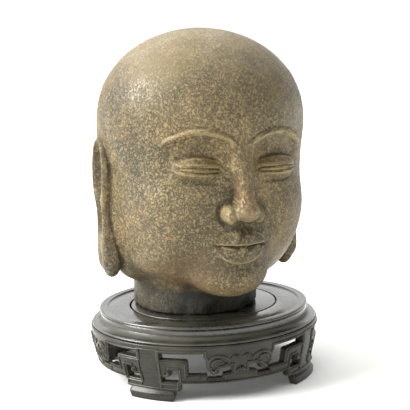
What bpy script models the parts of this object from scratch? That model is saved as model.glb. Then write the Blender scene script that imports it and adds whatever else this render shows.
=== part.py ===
"""Carved stone head of a shaven figure, resting on a round hardwood stand with pierced aprons.

Metres, +Z up. The origin is on the floor, in the middle of the object's bounding box. The face
looks towards -Y. The stand's legs are on the diagonals and its four aprons lie between them.
"""

import math

import bmesh
import bpy
import numpy as np

TOUCH_GAP = 0.0003  # between two pieces that rest on each other

# The turned top of the stand, and the panel let into it.
STAND_HEIGHT = 0.0658
RIM_RADIUS = 0.1000
RIM_WIDTH = 0.0078
RIM_LIP = 0.0012
RIM_BEAD_HEIGHT = 0.0034
BAND_HEIGHT = 0.0048
WAIST_INSET = 0.0018
SHOULDER_RADIUS = RIM_RADIUS * 1.09
RING_OVERHANG = 0.0016
RING_BEAD_HEIGHT = 0.0020
TOP_RING_HEIGHT = 0.0150
PANEL_RADIUS = RIM_RADIUS * 0.695
PANEL_THICKNESS = 0.0060
PANEL_GAP = 0.0016
PANEL_LEDGE = 0.0060
PANEL_EDGE = 0.0006
TURNING_STEPS = 40

# The pierced wall with its legs. Widths run along the wall, heights are above the floor.
WALL_THICKNESS = 0.0080
ANKLE_INSET = 0.0064
TOE_INSET = 0.0030
FOOT_HALF_WIDTH = 0.0210
FOOT_FLARE = 0.0028
FOOT_HEIGHT = 0.0092
BLOCK_HALF_WIDTH = 0.0285
BLOCK_BOTTOM = 0.0090
POST_HALF_WIDTH = 0.0112
HOOK_REACH = 0.0360
HOOK_BAND = 0.0092
HOOK_CORNER = 0.0036
HOOK_EYE_FLOOR = 0.0172
HOOK_EYE_TOP = 0.0284
TAB_REACH = 0.0195
TAB_FLOOR = 0.0216
RAIL_BOTTOM = 0.0155
RAIL_TOP = 0.0248
RAIL_STEP = 0.0034
RAIL_RISE = 0.0026
TOP_RAIL_DROP = 0.0220
TOP_RAIL_BOTTOM = STAND_HEIGHT - TOP_RAIL_DROP
HOOK_DROP = 0.0056
HOOK_TOP = TOP_RAIL_BOTTOM - HOOK_DROP
CLOUD_REACH = 0.0308
CLOUD_BOTTOM = 0.0290
CLOUD_LOBE_OUT = 0.0286
CLOUD_LOBE_IN = 0.0190
CLOUD_LOBE_BOTTOM = 0.0242
CLOUD_STEM = 0.0080
WALL_STRIPS = 12
STAND_TURN_DEG = -4.0
STAND_SET_BACK = 0.0090  # of the stand's axis behind the middle of the object

# The head, from the chin to the crown. Its forms are written for a head of 240 units.
HEAD_HEIGHT = 0.2400
HEAD_UNITS = 240.0
CHIN_CLEARANCE = 0.0220  # from the panel to the underside of the chin
NECK_HALF_WIDTH = 0.0585
NECK_HALF_DEPTH = 0.0660
NECK_SET_BACK = 0.0190
HEAD_SET_FORWARD = 0.0080  # of the middle of the head before the stand's axis
HEAD_SET_LEFT = 0.0045  # of the neck's foot from the stand's axis, towards -X
HEAD_LEAN_DEG = 1.9  # of the crown towards +X, on a neck cut level
HEAD_COLUMNS = 150
HEAD_ROWS = 120
HEAD_TRIANGLES = 3900
EAR_OUT = 98.0  # from the middle of the head to the outer face of an ear, in head units
EAR_HALF_THICKNESS = 6.5
LOBE_HALF_THICKNESS = 10.0
EAR_HALF_WIDTH = 19.0
EAR_HALF_HEIGHT = 64.0
EAR_COLUMNS = 48
EAR_ROWS = 36
EAR_TRIANGLES = 400

STONE_COLOR = (0.36, 0.31, 0.235, 1.0)
STONE_ROUGHNESS = 0.78
WOOD_COLOR = (0.035, 0.031, 0.027, 1.0)
WOOD_ROUGHNESS = 0.33


# Shapes given by a distance, in head units.

def ellipsoid(p, centre, radii):
    q = p - np.array(centre)
    r = np.array(radii)
    k0 = np.sqrt(((q / r) ** 2).sum(axis=1)) + 1e-9
    k1 = np.sqrt(((q / (r * r)) ** 2).sum(axis=1)) + 1e-9
    return k0 * (k0 - 1.0) / k1


def bar(p, start, end, r_start, r_end):
    a = np.array(start)
    d = np.array(end) - a
    t = np.clip(((p - a) @ d) / (d @ d), 0.0, 1.0)
    q = p - a - t[:, None] * d
    return np.sqrt((q ** 2).sum(axis=1)) - (r_start + (r_end - r_start) * t)


def blend(a, b, k):
    h = np.clip(0.5 + 0.5 * (b - a) / k, 0.0, 1.0)
    return b + (a - b) * h - k * h * (1.0 - h)


def carve(a, b, k):
    return -blend(-a, b, k)


def bell(x, middle, width):
    return np.exp(-((x - middle) / width) ** 2)


def ease(x, low, high):
    t = np.clip((x - low) / (high - low), 0.0, 1.0)
    return t * t * (3.0 - 2.0 * t)


def skull_form(m):
    """The mass of the skull, cheeks, jaw and chin, with the neck under it."""
    x = m[:, 0]
    y = m[:, 1]
    z = m[:, 2]
    skull = ellipsoid(m, (0, 3, 157), (95, 104, 81))
    nape = ellipsoid(m, (0, 22, 100), (86, 82, 86))
    mask = ellipsoid(m, (0, -24, 92), (80, 71, 95))
    cheek = ellipsoid(m, (35, -40, 76), (41, 46, 40))
    jaw = ellipsoid(m, (36, -8, 50), (40, 56, 40))
    form = blend(blend(skull, nape, 30.0), mask, 26.0)
    form = blend(form, cheek, 18.0)
    form = blend(form, jaw, 22.0)
    chin = ellipsoid(m, (0, -71, 19), (31, 22, 19))
    form = blend(form, chin, 22.0)
    ear_root = ellipsoid(m, (64, 8, 62), (27, 28, 56))
    form = blend(form, ear_root, 16.0)

    # The neck, a round post cut flat below.
    unit = HEAD_HEIGHT / HEAD_UNITS
    wide = NECK_HALF_WIDTH / unit
    deep = NECK_HALF_DEPTH / unit
    ring = np.sqrt((x / wide) ** 2 + ((y - NECK_SET_BACK / unit) / deep) ** 2)
    neck = np.maximum((ring - 1.0) * min(wide, deep), z - 60.0)
    return blend(form, neck, 12.0)


def features_form(m, form):
    """Eyes, nose and lips set into the mass of the head."""
    form = carve(form, ellipsoid(m, (36, -103, 120), (24, 15, 15)), 10.0)
    form = blend(form, ellipsoid(m, (35.5, -75, 117), (22.5, 20.5, 15.0)), 3.0)
    ridge = bar(m, (0, -93, 136), (0, -107, 84), 6.0, 7.5)
    nose = blend(ridge, ellipsoid(m, (0, -107, 79), (9.5, 11, 8.5)), 6.0)
    nose = blend(nose, ellipsoid(m, (11.5, -98, 76), (7.5, 11, 8.0)), 4.0)
    form = blend(form, nose, 6.0)
    form = carve(form, ellipsoid(m, (6.5, -105, 68.5), (4.0, 6.5, 3.6)), 2.0)
    form = blend(form, ellipsoid(m, (0, -77, 48), (32, 20, 20)), 12.0)
    upper = bar(m, (4.0, -95.0, 54.2), (22, -89.0, 50.6), 7.4, 3.4)
    lower = bar(m, (0, -94.5, 41.4), (16, -90.0, 44.6), 8.4, 4.6)
    return blend(form, blend(upper, lower, 1.0), 3.0)


def shallow_carving(m):
    """Brow, lids, mouth line and folds, as a push along the depth of the face."""
    x = m[:, 0]
    z = m[:, 2]
    front = ease(-m[:, 1], 50.0, 74.0)
    arch = np.sin(np.clip((x - 4.0) / 66.0, 0.0, 1.0) * math.pi) ** 0.75
    brow_line = 132.0 + 15.0 * arch - 0.04 * x
    brow_reach = ease(x, 4.0, 12.0) * (1.0 - ease(x, 58.0, 70.0))
    brow = 2.0 * bell(z, brow_line + 0.8, 2.2) * brow_reach
    brow_groove = -1.1 * bell(z, brow_line + 5.0, 1.0) * brow_reach
    socket_reach = ease(x, 8.0, 15.0) * (1.0 - ease(x, 50.0, 68.0))
    socket = -2.6 * (1.0 - ease(z, brow_line - 3.0, brow_line)) * ease(z, brow_line - 36.0, brow_line - 12.0)
    almond = np.sqrt(np.clip(1.0 - ((x - 35.5) / 20.0) ** 2, 0.0, 1.0))
    gaze = 113.8 + 0.05 * (x - 35.5)
    upper_lid = gaze + 2.4 * almond
    lower_lid = gaze - 1.9 * almond
    eye_reach = 1.0 - ease(np.abs(x - 35.5), 16.0, 21.0)
    lids = 1.3 * bell(z, upper_lid + 2.0, 1.4) + 0.9 * bell(z, lower_lid - 1.9, 1.3)
    slit = -1.9 * bell(z, upper_lid, 0.9) - 1.2 * bell(z, lower_lid, 0.8)
    crease = -1.5 * bell(z, gaze + 5.0 + 7.0 * almond, 1.2)
    bag = -0.9 * bell(z, lower_lid - 8.4, 1.8) * (1.0 - ease(np.abs(x - 34.0), 12.0, 22.0))
    wing = np.sqrt((x - 11.0) ** 2 + (z - 77.0) ** 2)
    wing_crease = -1.5 * bell(wing, 9.8, 1.5) * ease(x, 11.0, 16.0) * (1.0 - ease(z, 84.0, 89.0))
    mouth_line = 48.3 - 0.7 * bell(x, 0.0, 8.0) + 0.02 * x
    mouth = -2.6 * bell(z, mouth_line, 1.1) * (1.0 - ease(x, 21.0, 26.0))
    upper_edge = 61.6 - 2.0 * bell(x, 0.0, 3.4) - 0.014 * x * x
    lower_edge = 32.8 + 0.022 * x * x
    lip_edges = 0.7 * (bell(z, upper_edge, 1.0) + bell(z, lower_edge, 1.0)) * (1.0 - ease(x, 17.0, 24.0))
    corner = -1.1 * bell(x, 26.0, 3.4) * bell(z, 48.8, 4.0)
    gutter = -1.5 * bell(x, 0.0, 2.8) * ease(z, 57.0, 60.0) * (1.0 - ease(z, 68.0, 72.0))
    chin_crease = -1.8 * bell(z, 30.0, 4.0) * bell(x, 0.0, 17.0)
    fold = -0.7 * bell(x, 20.0 + 0.36 * (78.0 - z), 3.0) * ease(z, 52.0, 62.0) * (1.0 - ease(z, 74.0, 84.0))
    eyes = socket * socket_reach + (lids + slit + crease) * eye_reach + bag
    lips = mouth + lip_edges + corner + gutter + chin_crease
    return (brow + brow_groove + eyes + wing_crease + lips + fold) * front


def head_form(p):
    """Distance to the carved head: negative inside, with the chin at height 0 and the crown at 238."""
    m = p.copy()
    m[:, 0] = np.abs(m[:, 0])
    form = features_form(m, skull_form(m)) - shallow_carving(m)
    lean = math.radians(HEAD_LEAN_DEG)
    foot = CHIN_CLEARANCE * HEAD_UNITS / HEAD_HEIGHT
    level = p[:, 2] * math.cos(lean) - p[:, 0] * math.sin(lean) + foot
    return carve(form, level, 3.0)


def ear_rim(y, z):
    """How far a place on the side of the head lies outside the outline of the long ear, in head units."""
    flat = np.stack([np.zeros_like(y), y, z], axis=1)
    shell = ellipsoid(flat, (0, 13, 106), (200, 20, 33))
    lobe = bar(flat, (0, 8, 84), (0, 3, 32), 12.0, 12.0)
    return blend(shell, lobe, 8.0)


def ear_form(p):
    """Distance to the plain slab of the ear on the side of positive X, with its thick lobe."""
    slab = np.abs(p[:, 0] - EAR_OUT + EAR_HALF_THICKNESS) - EAR_HALF_THICKNESS
    flap = carve(ear_rim(p[:, 1], p[:, 2]), -slab, 5.0)
    lobe = ellipsoid(p, (EAR_OUT - LOBE_HALF_THICKNESS, 3, 31), (LOBE_HALF_THICKNESS, 13.5, 21))
    return blend(flap, lobe, 5.0)


def ear_relief(p):
    """How deep the outer face of the ear is carved at each point."""
    y = p[:, 1]
    z = p[:, 2]
    inward = np.clip(-ear_rim(y, z), 0.0, 14.0)
    upper = ease(z, 46.0, 64.0)
    bowl = 3.6 * ease(inward, 3.0, 6.0) * upper
    fold = 2.8 * bell(inward, 9.8, 2.2) * ease(y, 3.0, 11.0) * upper
    hollow = 2.4 * ease(inward, 9.5, 13.0) * ease(z, 66.0, 78.0)
    tragus = 1.4 * bell(y, -3.0, 3.8) * bell(z, 82.0, 7.0)
    dimple = 1.6 * bell(y, 3.0, 5.0) * bell(z, 28.0, 12.0)
    outside = ease(p[:, 0], EAR_OUT - EAR_HALF_THICKNESS, EAR_OUT - EAR_HALF_THICKNESS * 0.4)
    return (bowl - fold + hollow - tragus + dimple) * outside


def cast(form, centre, rays):
    """Move along each ray from a centre to the place where it leaves a form."""
    rays = rays / np.sqrt((rays ** 2).sum(axis=1))[:, None]
    far = np.full(len(rays), 200.0)
    for _ in range(70):
        gap = form(centre + rays * far[:, None])
        far = np.clip(far - np.clip(gap * 0.6, -6.0, 12.0), 1.0, 200.0)
    return centre + rays * far[:, None]


def head_rays(ball):
    """Directions from the points of a sphere, turned so that more of them meet the face."""
    turn = np.arctan2(ball[:, 0], -ball[:, 1])
    turn = turn - 0.55 * np.sin(turn)
    fall = np.arccos(np.clip(ball[:, 2], -1.0, 1.0))
    shares = (0.0, 0.17, 0.82, 0.94, 1.0)
    fall = np.radians(np.interp(fall / math.pi, shares, (0.0, 56.0, 137.0, 158.0, 180.0)))
    return np.stack([np.sin(fall) * np.sin(turn), -np.sin(fall) * np.cos(turn), np.cos(fall)], axis=1)


def ear_rays(ball):
    """Directions from the points of a sphere whose poles look out of the two flat sides of the ear."""
    out = np.clip(ball[:, 2] * math.sqrt(2.0), -1.0, 1.0)
    across = np.sqrt(ball[:, 0] ** 2 + ball[:, 1] ** 2) + 1e-9
    spread = np.minimum(across * math.sqrt(2.0), 1.0) / across
    rays = np.stack([out, spread * ball[:, 1], spread * ball[:, 0]], axis=1)
    return rays * np.array((EAR_HALF_THICKNESS, EAR_HALF_WIDTH, EAR_HALF_HEIGHT))


def clear_scene():
    for thing in list(bpy.data.objects):
        bpy.data.objects.remove(thing, do_unlink=True)


def plain_material(name, color, roughness):
    made = bpy.data.materials.new(name)
    made.use_nodes = True
    shader = made.node_tree.nodes["Principled BSDF"]
    shader.inputs["Base Color"].default_value = color
    shader.inputs["Roughness"].default_value = roughness
    shader.inputs["Metallic"].default_value = 0.0
    return made


def add_piece(name, mesh, collection, parent, color, roughness, sharp_deg):
    """Put a mesh in the scene as a named piece with its own material."""
    mesh.name = name
    mesh.materials.clear()
    mesh.materials.append(plain_material(name + "_finish", color, roughness))
    mesh.shade_smooth()
    mesh.set_sharp_from_angle(angle=math.radians(sharp_deg))
    piece = bpy.data.objects.new(name, mesh)
    collection.objects.link(piece)
    piece.parent = parent
    return piece


def turned_piece(name, profile, collection, parent):
    """A profile of (radius, height) turned round the stand's axis by a Screw modifier."""
    mesh = bpy.data.meshes.new(name)
    links = [(i, i + 1) for i in range(len(profile) - 1)]
    if profile[0][0] > 0.0:
        links.append((len(profile) - 1, 0))
    mesh.from_pydata([(radius, 0.0, height) for radius, height in profile], links, [])
    piece = add_piece(name, mesh, collection, parent, WOOD_COLOR, WOOD_ROUGHNESS, 32.0)
    turn = piece.modifiers.new("turn", "SCREW")
    turn.axis = "Z"
    turn.angle = 2.0 * math.pi
    turn.steps = TURNING_STEPS
    turn.render_steps = TURNING_STEPS
    turn.use_merge_vertices = True
    turn.merge_threshold = 0.00001
    return piece


def bead(middle_radius, middle_height, half_width, half_height, start, end, count):
    """Points of a rounded moulding, from one angle to another in degrees."""
    points = []
    for i in range(count):
        a = math.radians(start + (end - start) * i / (count - 1))
        points.append((middle_radius + half_width * math.cos(a), middle_height + half_height * math.sin(a)))
    return points


def top_profile():
    top = STAND_HEIGHT
    under = top - TOP_RING_HEIGHT
    seat = top - RIM_LIP
    rim_low = top - RIM_BEAD_HEIGHT
    band_low = rim_low - BAND_HEIGHT
    waist = RIM_RADIUS - WAIST_INSET
    hole = PANEL_RADIUS + PANEL_GAP
    ledge_z = seat - PANEL_THICKNESS - TOUCH_GAP
    edge = SHOULDER_RADIUS - RING_OVERHANG
    bead_half = RING_BEAD_HEIGHT / 2.0
    points = [(hole - PANEL_LEDGE, under), (hole - PANEL_LEDGE, ledge_z), (hole, ledge_z), (hole, seat)]
    points += [(RIM_RADIUS - RIM_WIDTH, seat), (RIM_RADIUS - RIM_WIDTH * 0.86, top - RIM_LIP * 0.25)]
    rim_half = RIM_BEAD_HEIGHT / 2.0
    points += bead(RIM_RADIUS - 0.0024, top - rim_half, 0.0024, rim_half, 90.0, -70.0, 5)
    points += [(waist + 0.0008, rim_low - 0.0004), (waist + 0.0008, band_low + 0.0006), (waist, band_low)]
    low = under + RING_BEAD_HEIGHT
    for i in range(1, 4):
        a = math.radians(30.0 * i)
        out = waist + (edge - bead_half - waist) * (1.0 - math.cos(a))
        points.append((out, band_low - (band_low - low) * math.sin(a)))
    points += bead(edge - bead_half, under + bead_half, bead_half, bead_half, 50.0, -90.0, 4)
    return points


def panel_profile():
    top = STAND_HEIGHT - RIM_LIP
    under = top - PANEL_THICKNESS
    eased = PANEL_RADIUS - PANEL_EDGE
    return [(0.0, top), (eased, top), (PANEL_RADIUS, top - PANEL_EDGE), (PANEL_RADIUS, under), (0.0, under)]


def wall_levels():
    """Heights at which the wall's slope changes: toe, ankle, belly and shoulder."""
    top = STAND_HEIGHT - TOP_RING_HEIGHT
    return (0.0, FOOT_HEIGHT * 0.66, FOOT_HEIGHT, RAIL_BOTTOM, HOOK_TOP * 0.87, top)


def wall_radius(z):
    """Outer radius of the wall and legs at a height."""
    toe = SHOULDER_RADIUS - TOE_INSET
    ankle = SHOULDER_RADIUS - ANKLE_INSET
    belly = SHOULDER_RADIUS - ANKLE_INSET * 0.35
    return float(np.interp(z, wall_levels(), (toe, toe, ankle + 0.0010, ankle, belly, SHOULDER_RADIUS)))


def half_outline(reach, top):
    """Half of a leg unit seen flat, from the foot's middle out along the wall, with its two openings."""
    edge = [
        (FOOT_HALF_WIDTH, 0.0),
        (FOOT_HALF_WIDTH + FOOT_FLARE, FOOT_HEIGHT * 0.66),
        (FOOT_HALF_WIDTH + FOOT_FLARE * 0.5, BLOCK_BOTTOM),
        (BLOCK_HALF_WIDTH, BLOCK_BOTTOM),
        (BLOCK_HALF_WIDTH, RAIL_BOTTOM),
        (reach, RAIL_BOTTOM),
        (reach, top),
    ]
    inner = HOOK_REACH - HOOK_BAND
    eye = [
        (POST_HALF_WIDTH, HOOK_EYE_FLOOR),
        (inner - 0.0012, HOOK_EYE_FLOOR),
        (inner, HOOK_EYE_FLOOR + 0.0012),
        (inner, HOOK_EYE_TOP),
        (TAB_REACH + 0.0008, HOOK_EYE_TOP),
        (TAB_REACH, TAB_FLOOR + 0.0022),
        (TAB_REACH - 0.0020, TAB_FLOOR),
        (POST_HALF_WIDTH, TAB_FLOOR),
    ]
    cloud = reach - CLOUD_REACH
    lobe_out = reach - CLOUD_LOBE_OUT
    lobe_in = reach - CLOUD_LOBE_IN
    stem = reach - CLOUD_STEM
    opening = [
        (HOOK_REACH, RAIL_TOP),
        (cloud + 0.0006, RAIL_TOP),
        (cloud + 0.0006, RAIL_TOP - RAIL_STEP),
        (lobe_in + 0.0026, RAIL_TOP - RAIL_STEP),
        (lobe_in + 0.0026, RAIL_TOP),
        (stem, RAIL_TOP + RAIL_RISE * 0.5),
        (stem, CLOUD_BOTTOM + 0.0014),
        (stem - 0.0016, CLOUD_BOTTOM + RAIL_RISE),
        (lobe_in + 0.0008, CLOUD_BOTTOM + RAIL_RISE * 0.4),
        (lobe_in - 0.0014, CLOUD_LOBE_BOTTOM),
        (lobe_out + 0.0018, CLOUD_LOBE_BOTTOM),
        (lobe_out, CLOUD_BOTTOM),
        (cloud, CLOUD_BOTTOM + 0.0008),
        (cloud - 0.0006, TOP_RAIL_BOTTOM - 0.0052),
        (cloud - 0.0022, TOP_RAIL_BOTTOM - 0.0036),
        (cloud - 0.0022, TOP_RAIL_BOTTOM),
        (POST_HALF_WIDTH, TOP_RAIL_BOTTOM),
        (POST_HALF_WIDTH, HOOK_TOP),
        (HOOK_REACH - HOOK_CORNER, HOOK_TOP),
        (HOOK_REACH - HOOK_CORNER * 0.3, HOOK_TOP - HOOK_CORNER * 0.3),
        (HOOK_REACH, HOOK_TOP - HOOK_CORNER),
    ]
    return edge, [eye, opening]


def mirrored(points):
    return [(-x, z) for x, z in reversed(points)]


def mesh_of(thing):
    """The evaluated mesh of an object, which is then removed."""
    evaluated = thing.evaluated_get(bpy.context.evaluated_depsgraph_get())
    mesh = bpy.data.meshes.new_from_object(evaluated)
    bpy.data.objects.remove(thing, do_unlink=True)
    return mesh


def pierced_sheet(outline, openings):
    """A flat filled curve with openings. X runs along the wall and Y up."""
    curve = bpy.data.curves.new("wall_outline", "CURVE")
    curve.dimensions = "2D"
    curve.fill_mode = "BOTH"
    for loop in [outline] + openings:
        spline = curve.splines.new("POLY")
        spline.points.add(len(loop) - 1)
        for point, (x, z) in zip(spline.points, loop):
            point.co = (x, z, 0.0, 1.0)
        spline.use_cyclic_u = True
    flat = bpy.data.objects.new("wall_outline", curve)
    bpy.context.scene.collection.objects.link(flat)
    bpy.context.view_layer.update()
    mesh = mesh_of(flat)
    bm = bmesh.new()
    bm.from_mesh(mesh)
    bpy.data.meshes.remove(mesh)
    bpy.data.curves.remove(curve)
    bmesh.ops.remove_doubles(bm, verts=bm.verts, dist=0.00001)
    return bm


def cut_across(bm, at, normal):
    """Cut the flat sheet along a line, and mark the cut so that it is kept."""
    geometry = list(bm.verts) + list(bm.edges) + list(bm.faces)
    cut = bmesh.ops.bisect_plane(bm, geom=geometry, dist=0.00002, plane_co=at, plane_no=normal)
    for part in cut["geom_cut"]:
        if isinstance(part, bmesh.types.BMEdge):
            part.seam = True


def leg_piece(name, middle_deg, collection, parent):
    """A leg with the pierced wall on both sides of it, up to the joints in the middle of the aprons."""
    bend = SHOULDER_RADIUS - ANKLE_INSET * 0.5
    reach = bend * math.pi / 4.0 - TOUCH_GAP / 2.0
    top = STAND_HEIGHT - TOP_RING_HEIGHT - TOUCH_GAP
    edge, holes = half_outline(reach, top)
    bm = pierced_sheet(mirrored(edge) + edge, holes + [mirrored(hole) for hole in holes])
    for i in range(1, WALL_STRIPS):
        cut_across(bm, (-reach + 2.0 * reach * i / WALL_STRIPS, 0.0, 0.0), (1.0, 0.0, 0.0))
    for level in wall_levels()[1:-1]:
        cut_across(bm, (0.0, level, 0.0), (0.0, 1.0, 0.0))
    bmesh.ops.remove_doubles(bm, verts=bm.verts, dist=0.0002)
    bmesh.ops.dissolve_degenerate(bm, dist=0.0001, edges=bm.edges)
    bmesh.ops.dissolve_limit(bm, angle_limit=0.01, verts=bm.verts, edges=bm.edges, delimit={"SEAM"})
    bmesh.ops.triangulate(bm, faces=bm.faces, quad_method="SHORT_EDGE", ngon_method="BEAUTY")
    grown = bmesh.ops.extrude_face_region(bm, geom=list(bm.faces), use_keep_orig=True)
    outer = {part for part in grown["geom"] if isinstance(part, bmesh.types.BMVert)}
    for v in bm.verts:
        angle = math.radians(middle_deg) + v.co.x / bend
        radius = wall_radius(v.co.y) - (0.0 if v in outer else WALL_THICKNESS)
        v.co = (radius * math.sin(angle), -radius * math.cos(angle), v.co.y)
    bmesh.ops.triangulate(bm, faces=bm.faces, quad_method="SHORT_EDGE", ngon_method="BEAUTY")
    bmesh.ops.recalc_face_normals(bm, faces=bm.faces)
    mesh = bpy.data.meshes.new(name)
    bm.to_mesh(mesh)
    bm.free()
    return add_piece(name, mesh, collection, parent, WOOD_COLOR, WOOD_ROUGHNESS, 35.0)


def carved_mesh(name, columns, rows, find_points, triangles):
    """A sphere whose points are moved onto a carved form, thinned out where the form is plain."""
    bm = bmesh.new()
    bmesh.ops.create_uvsphere(bm, u_segments=columns, v_segments=rows, radius=1.0)
    ball = np.array([v.co[:] for v in bm.verts])
    points = find_points(ball) * (HEAD_HEIGHT / HEAD_UNITS)
    for v, point in zip(bm.verts, points):
        v.co = point
    bmesh.ops.triangulate(bm, faces=bm.faces, quad_method="BEAUTY")
    bmesh.ops.recalc_face_normals(bm, faces=bm.faces)
    mesh = bpy.data.meshes.new(name)
    bm.to_mesh(mesh)
    bm.free()
    piece = bpy.data.objects.new(name, mesh)
    bpy.context.scene.collection.objects.link(piece)
    thin = piece.modifiers.new("thin", "DECIMATE")
    thin.decimate_type = "COLLAPSE"
    thin.ratio = min(1.0, triangles / len(mesh.polygons))
    return piece


def leaned(points):
    """Tip the head sideways, so that its level foot lies flat."""
    lean = math.radians(HEAD_LEAN_DEG)
    x = points[:, 0] * math.cos(lean) + points[:, 2] * math.sin(lean)
    z = points[:, 2] * math.cos(lean) - points[:, 0] * math.sin(lean)
    return np.stack([x, points[:, 1], z], axis=1)


def head_shape(ball):
    points = leaned(cast(head_form, np.array((0.0, 8.0, 105.0)), head_rays(ball)))
    foot = -CHIN_CLEARANCE * HEAD_UNITS / HEAD_HEIGHT
    points[:, 2] = np.where(points[:, 2] < foot + 0.02, foot, points[:, 2])
    return points


def ear_shape(side):
    def find_points(ball):
        centre = np.array((EAR_OUT - EAR_HALF_THICKNESS, 9.0, 71.0))
        points = cast(ear_form, centre, ear_rays(ball))
        points[:, 0] -= ear_relief(points)
        return leaned(points * np.array((side, 1.0, 1.0)))
    return find_points


def head_piece(name, collection, parent):
    """The head with its ears as one carved block, its neck cut flat on the stand's panel."""
    head = carved_mesh(name, HEAD_COLUMNS, HEAD_ROWS, head_shape, HEAD_TRIANGLES)
    for side in (1.0, -1.0):
        ear = carved_mesh("ear", EAR_COLUMNS, EAR_ROWS, ear_shape(side), EAR_TRIANGLES)
        ear.hide_render = True
        ear.display_type = "WIRE"
        join = head.modifiers.new("join_ear", "BOOLEAN")
        join.operation = "UNION"
        join.solver = "EXACT"
        join.object = ear
    bpy.context.view_layer.update()
    ears = [change.object for change in head.modifiers if change.type == "BOOLEAN"]
    mesh = mesh_of(head)
    for ear in ears:
        bpy.data.objects.remove(ear, do_unlink=True)
    piece = add_piece(name, mesh, collection, parent, STONE_COLOR, STONE_ROUGHNESS, 50.0)
    foot = CHIN_CLEARANCE * math.sin(math.radians(HEAD_LEAN_DEG))
    height = STAND_HEIGHT - RIM_LIP + TOUCH_GAP + CHIN_CLEARANCE
    piece.location = (foot - HEAD_SET_LEFT, -HEAD_SET_FORWARD, height)
    return piece


def main():
    clear_scene()
    collection = bpy.data.collections.new("stone_head_on_stand")
    bpy.context.scene.collection.children.link(collection)
    axis = bpy.data.objects.new("stand_axis", None)
    axis.location = (0.0, STAND_SET_BACK, 0.0)
    collection.objects.link(axis)
    turned_piece("stand_top", top_profile(), collection, axis)
    turned_piece("stand_panel", panel_profile(), collection, axis)
    for i, side in enumerate(("front_right", "back_right", "back_left", "front_left")):
        leg_piece("stand_leg_" + side, STAND_TURN_DEG + 45.0 + 90.0 * i, collection, axis)
    head_piece("head", collection, axis)
    bpy.context.view_layer.update()


main()
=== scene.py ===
"""Looks of the carved stone head and its dark hardwood stand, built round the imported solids."""

import math
import random

import bmesh
import bpy
import numpy as np
from bpy.props import FloatProperty, FloatVectorProperty, IntProperty, PointerProperty
from mathutils import Matrix, Vector, noise


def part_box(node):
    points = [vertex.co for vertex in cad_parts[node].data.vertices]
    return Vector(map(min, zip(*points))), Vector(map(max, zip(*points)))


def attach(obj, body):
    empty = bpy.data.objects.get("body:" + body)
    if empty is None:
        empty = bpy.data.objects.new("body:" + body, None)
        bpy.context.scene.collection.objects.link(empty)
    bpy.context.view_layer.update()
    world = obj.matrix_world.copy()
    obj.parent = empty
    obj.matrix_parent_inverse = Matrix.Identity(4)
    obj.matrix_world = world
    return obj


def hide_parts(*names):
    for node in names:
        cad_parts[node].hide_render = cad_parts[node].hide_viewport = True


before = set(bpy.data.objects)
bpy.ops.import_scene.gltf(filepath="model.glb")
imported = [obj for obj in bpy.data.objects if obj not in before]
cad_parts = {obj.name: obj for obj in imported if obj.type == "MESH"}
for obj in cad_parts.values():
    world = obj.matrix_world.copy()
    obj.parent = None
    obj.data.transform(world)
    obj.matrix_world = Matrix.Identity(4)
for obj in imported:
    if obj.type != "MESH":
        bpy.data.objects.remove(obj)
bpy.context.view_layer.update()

bl_info = {
    "name": "Stone Head on a Turned Stand",
    "version": (1, 0, 0),
    "blender": (4, 5, 0),
    "location": "3D View > Sidebar > Stone Head",
    "description": "Carves the stone head, turns and carves its hardwood stand, and lights them",
    "category": "Object",
}

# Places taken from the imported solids.
TOP_LOW, TOP_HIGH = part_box("stand_top")
PANEL_LOW, PANEL_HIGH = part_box("stand_panel")
HEAD_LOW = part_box("head")[0]
AXIS = Vector(((TOP_LOW.x + TOP_HIGH.x) / 2.0, (TOP_LOW.y + TOP_HIGH.y) / 2.0, 0.0))
STAND_HEIGHT = TOP_HIGH.z
TOP_UNDERSIDE = TOP_LOW.z
PANEL_RADIUS = (PANEL_HIGH.x - PANEL_LOW.x) / 2.0
PANEL_UNDERSIDE = PANEL_LOW.z
SEAT = PANEL_HIGH.z
TOUCH_GAP = 0.0003
JOINT_GAP = 0.00006

# The turned top. Radii are from the stand's axis.
RING_OVERHANG = 0.0016
SHOULDER_RADIUS = (TOP_HIGH.x - TOP_LOW.x) / 2.0 + RING_OVERHANG
RIM_RADIUS = SHOULDER_RADIUS / 1.09
RIM_WIDTH = 0.0078
RIM_BEAD_HEIGHT = 0.0034
BAND_HEIGHT = 0.0048
WAIST_INSET = 0.0018
RING_BEAD_HEIGHT = 0.0020
PANEL_GAP = 0.0016
PANEL_LEDGE = 0.0060
TURNING_STEPS = 216

# The pierced wall. Widths run along the wall, heights are above the floor.
WALL_THICKNESS = 0.0080
ANKLE_INSET = 0.0064
TOE_INSET = 0.0030
FOOT_HALF_WIDTH = 0.0210
FOOT_FLARE = 0.0028
FOOT_HEIGHT = 0.0092
BLOCK_HALF_WIDTH = 0.0285
BLOCK_BOTTOM = 0.0090
POST_HALF_WIDTH = 0.0112
HOOK_REACH = 0.0360
HOOK_BAND = 0.0092
HOOK_EYE_FLOOR = 0.0172
HOOK_EYE_TOP = 0.0284
TAB_REACH = 0.0195
TAB_FLOOR = 0.0216
RAIL_BOTTOM = 0.0155
RAIL_TOP = 0.0248
RAIL_STEP = 0.0034
RAIL_RISE = 0.0026
TOP_RAIL_DROP = 0.0220
TOP_RAIL_BOTTOM = round(STAND_HEIGHT - TOP_RAIL_DROP, 6)
HOOK_DROP = 0.0056
HOOK_TOP = round(TOP_RAIL_BOTTOM - HOOK_DROP, 6)
CLOUD_REACH = 0.0308
CLOUD_BOTTOM = 0.0290
CLOUD_LOBE_OUT = 0.0286
CLOUD_LOBE_IN = 0.0190
CLOUD_LOBE_BOTTOM = 0.0242
CLOUD_STEM = 0.0080
STAND_TURN_DEG = -4.0
BEND_RADIUS = SHOULDER_RADIUS - ANKLE_INSET * 0.5
MAP_SCALE = 4.0
LINE_STEP = 0.0018
SCROLL_STEP = 0.0007
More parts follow.
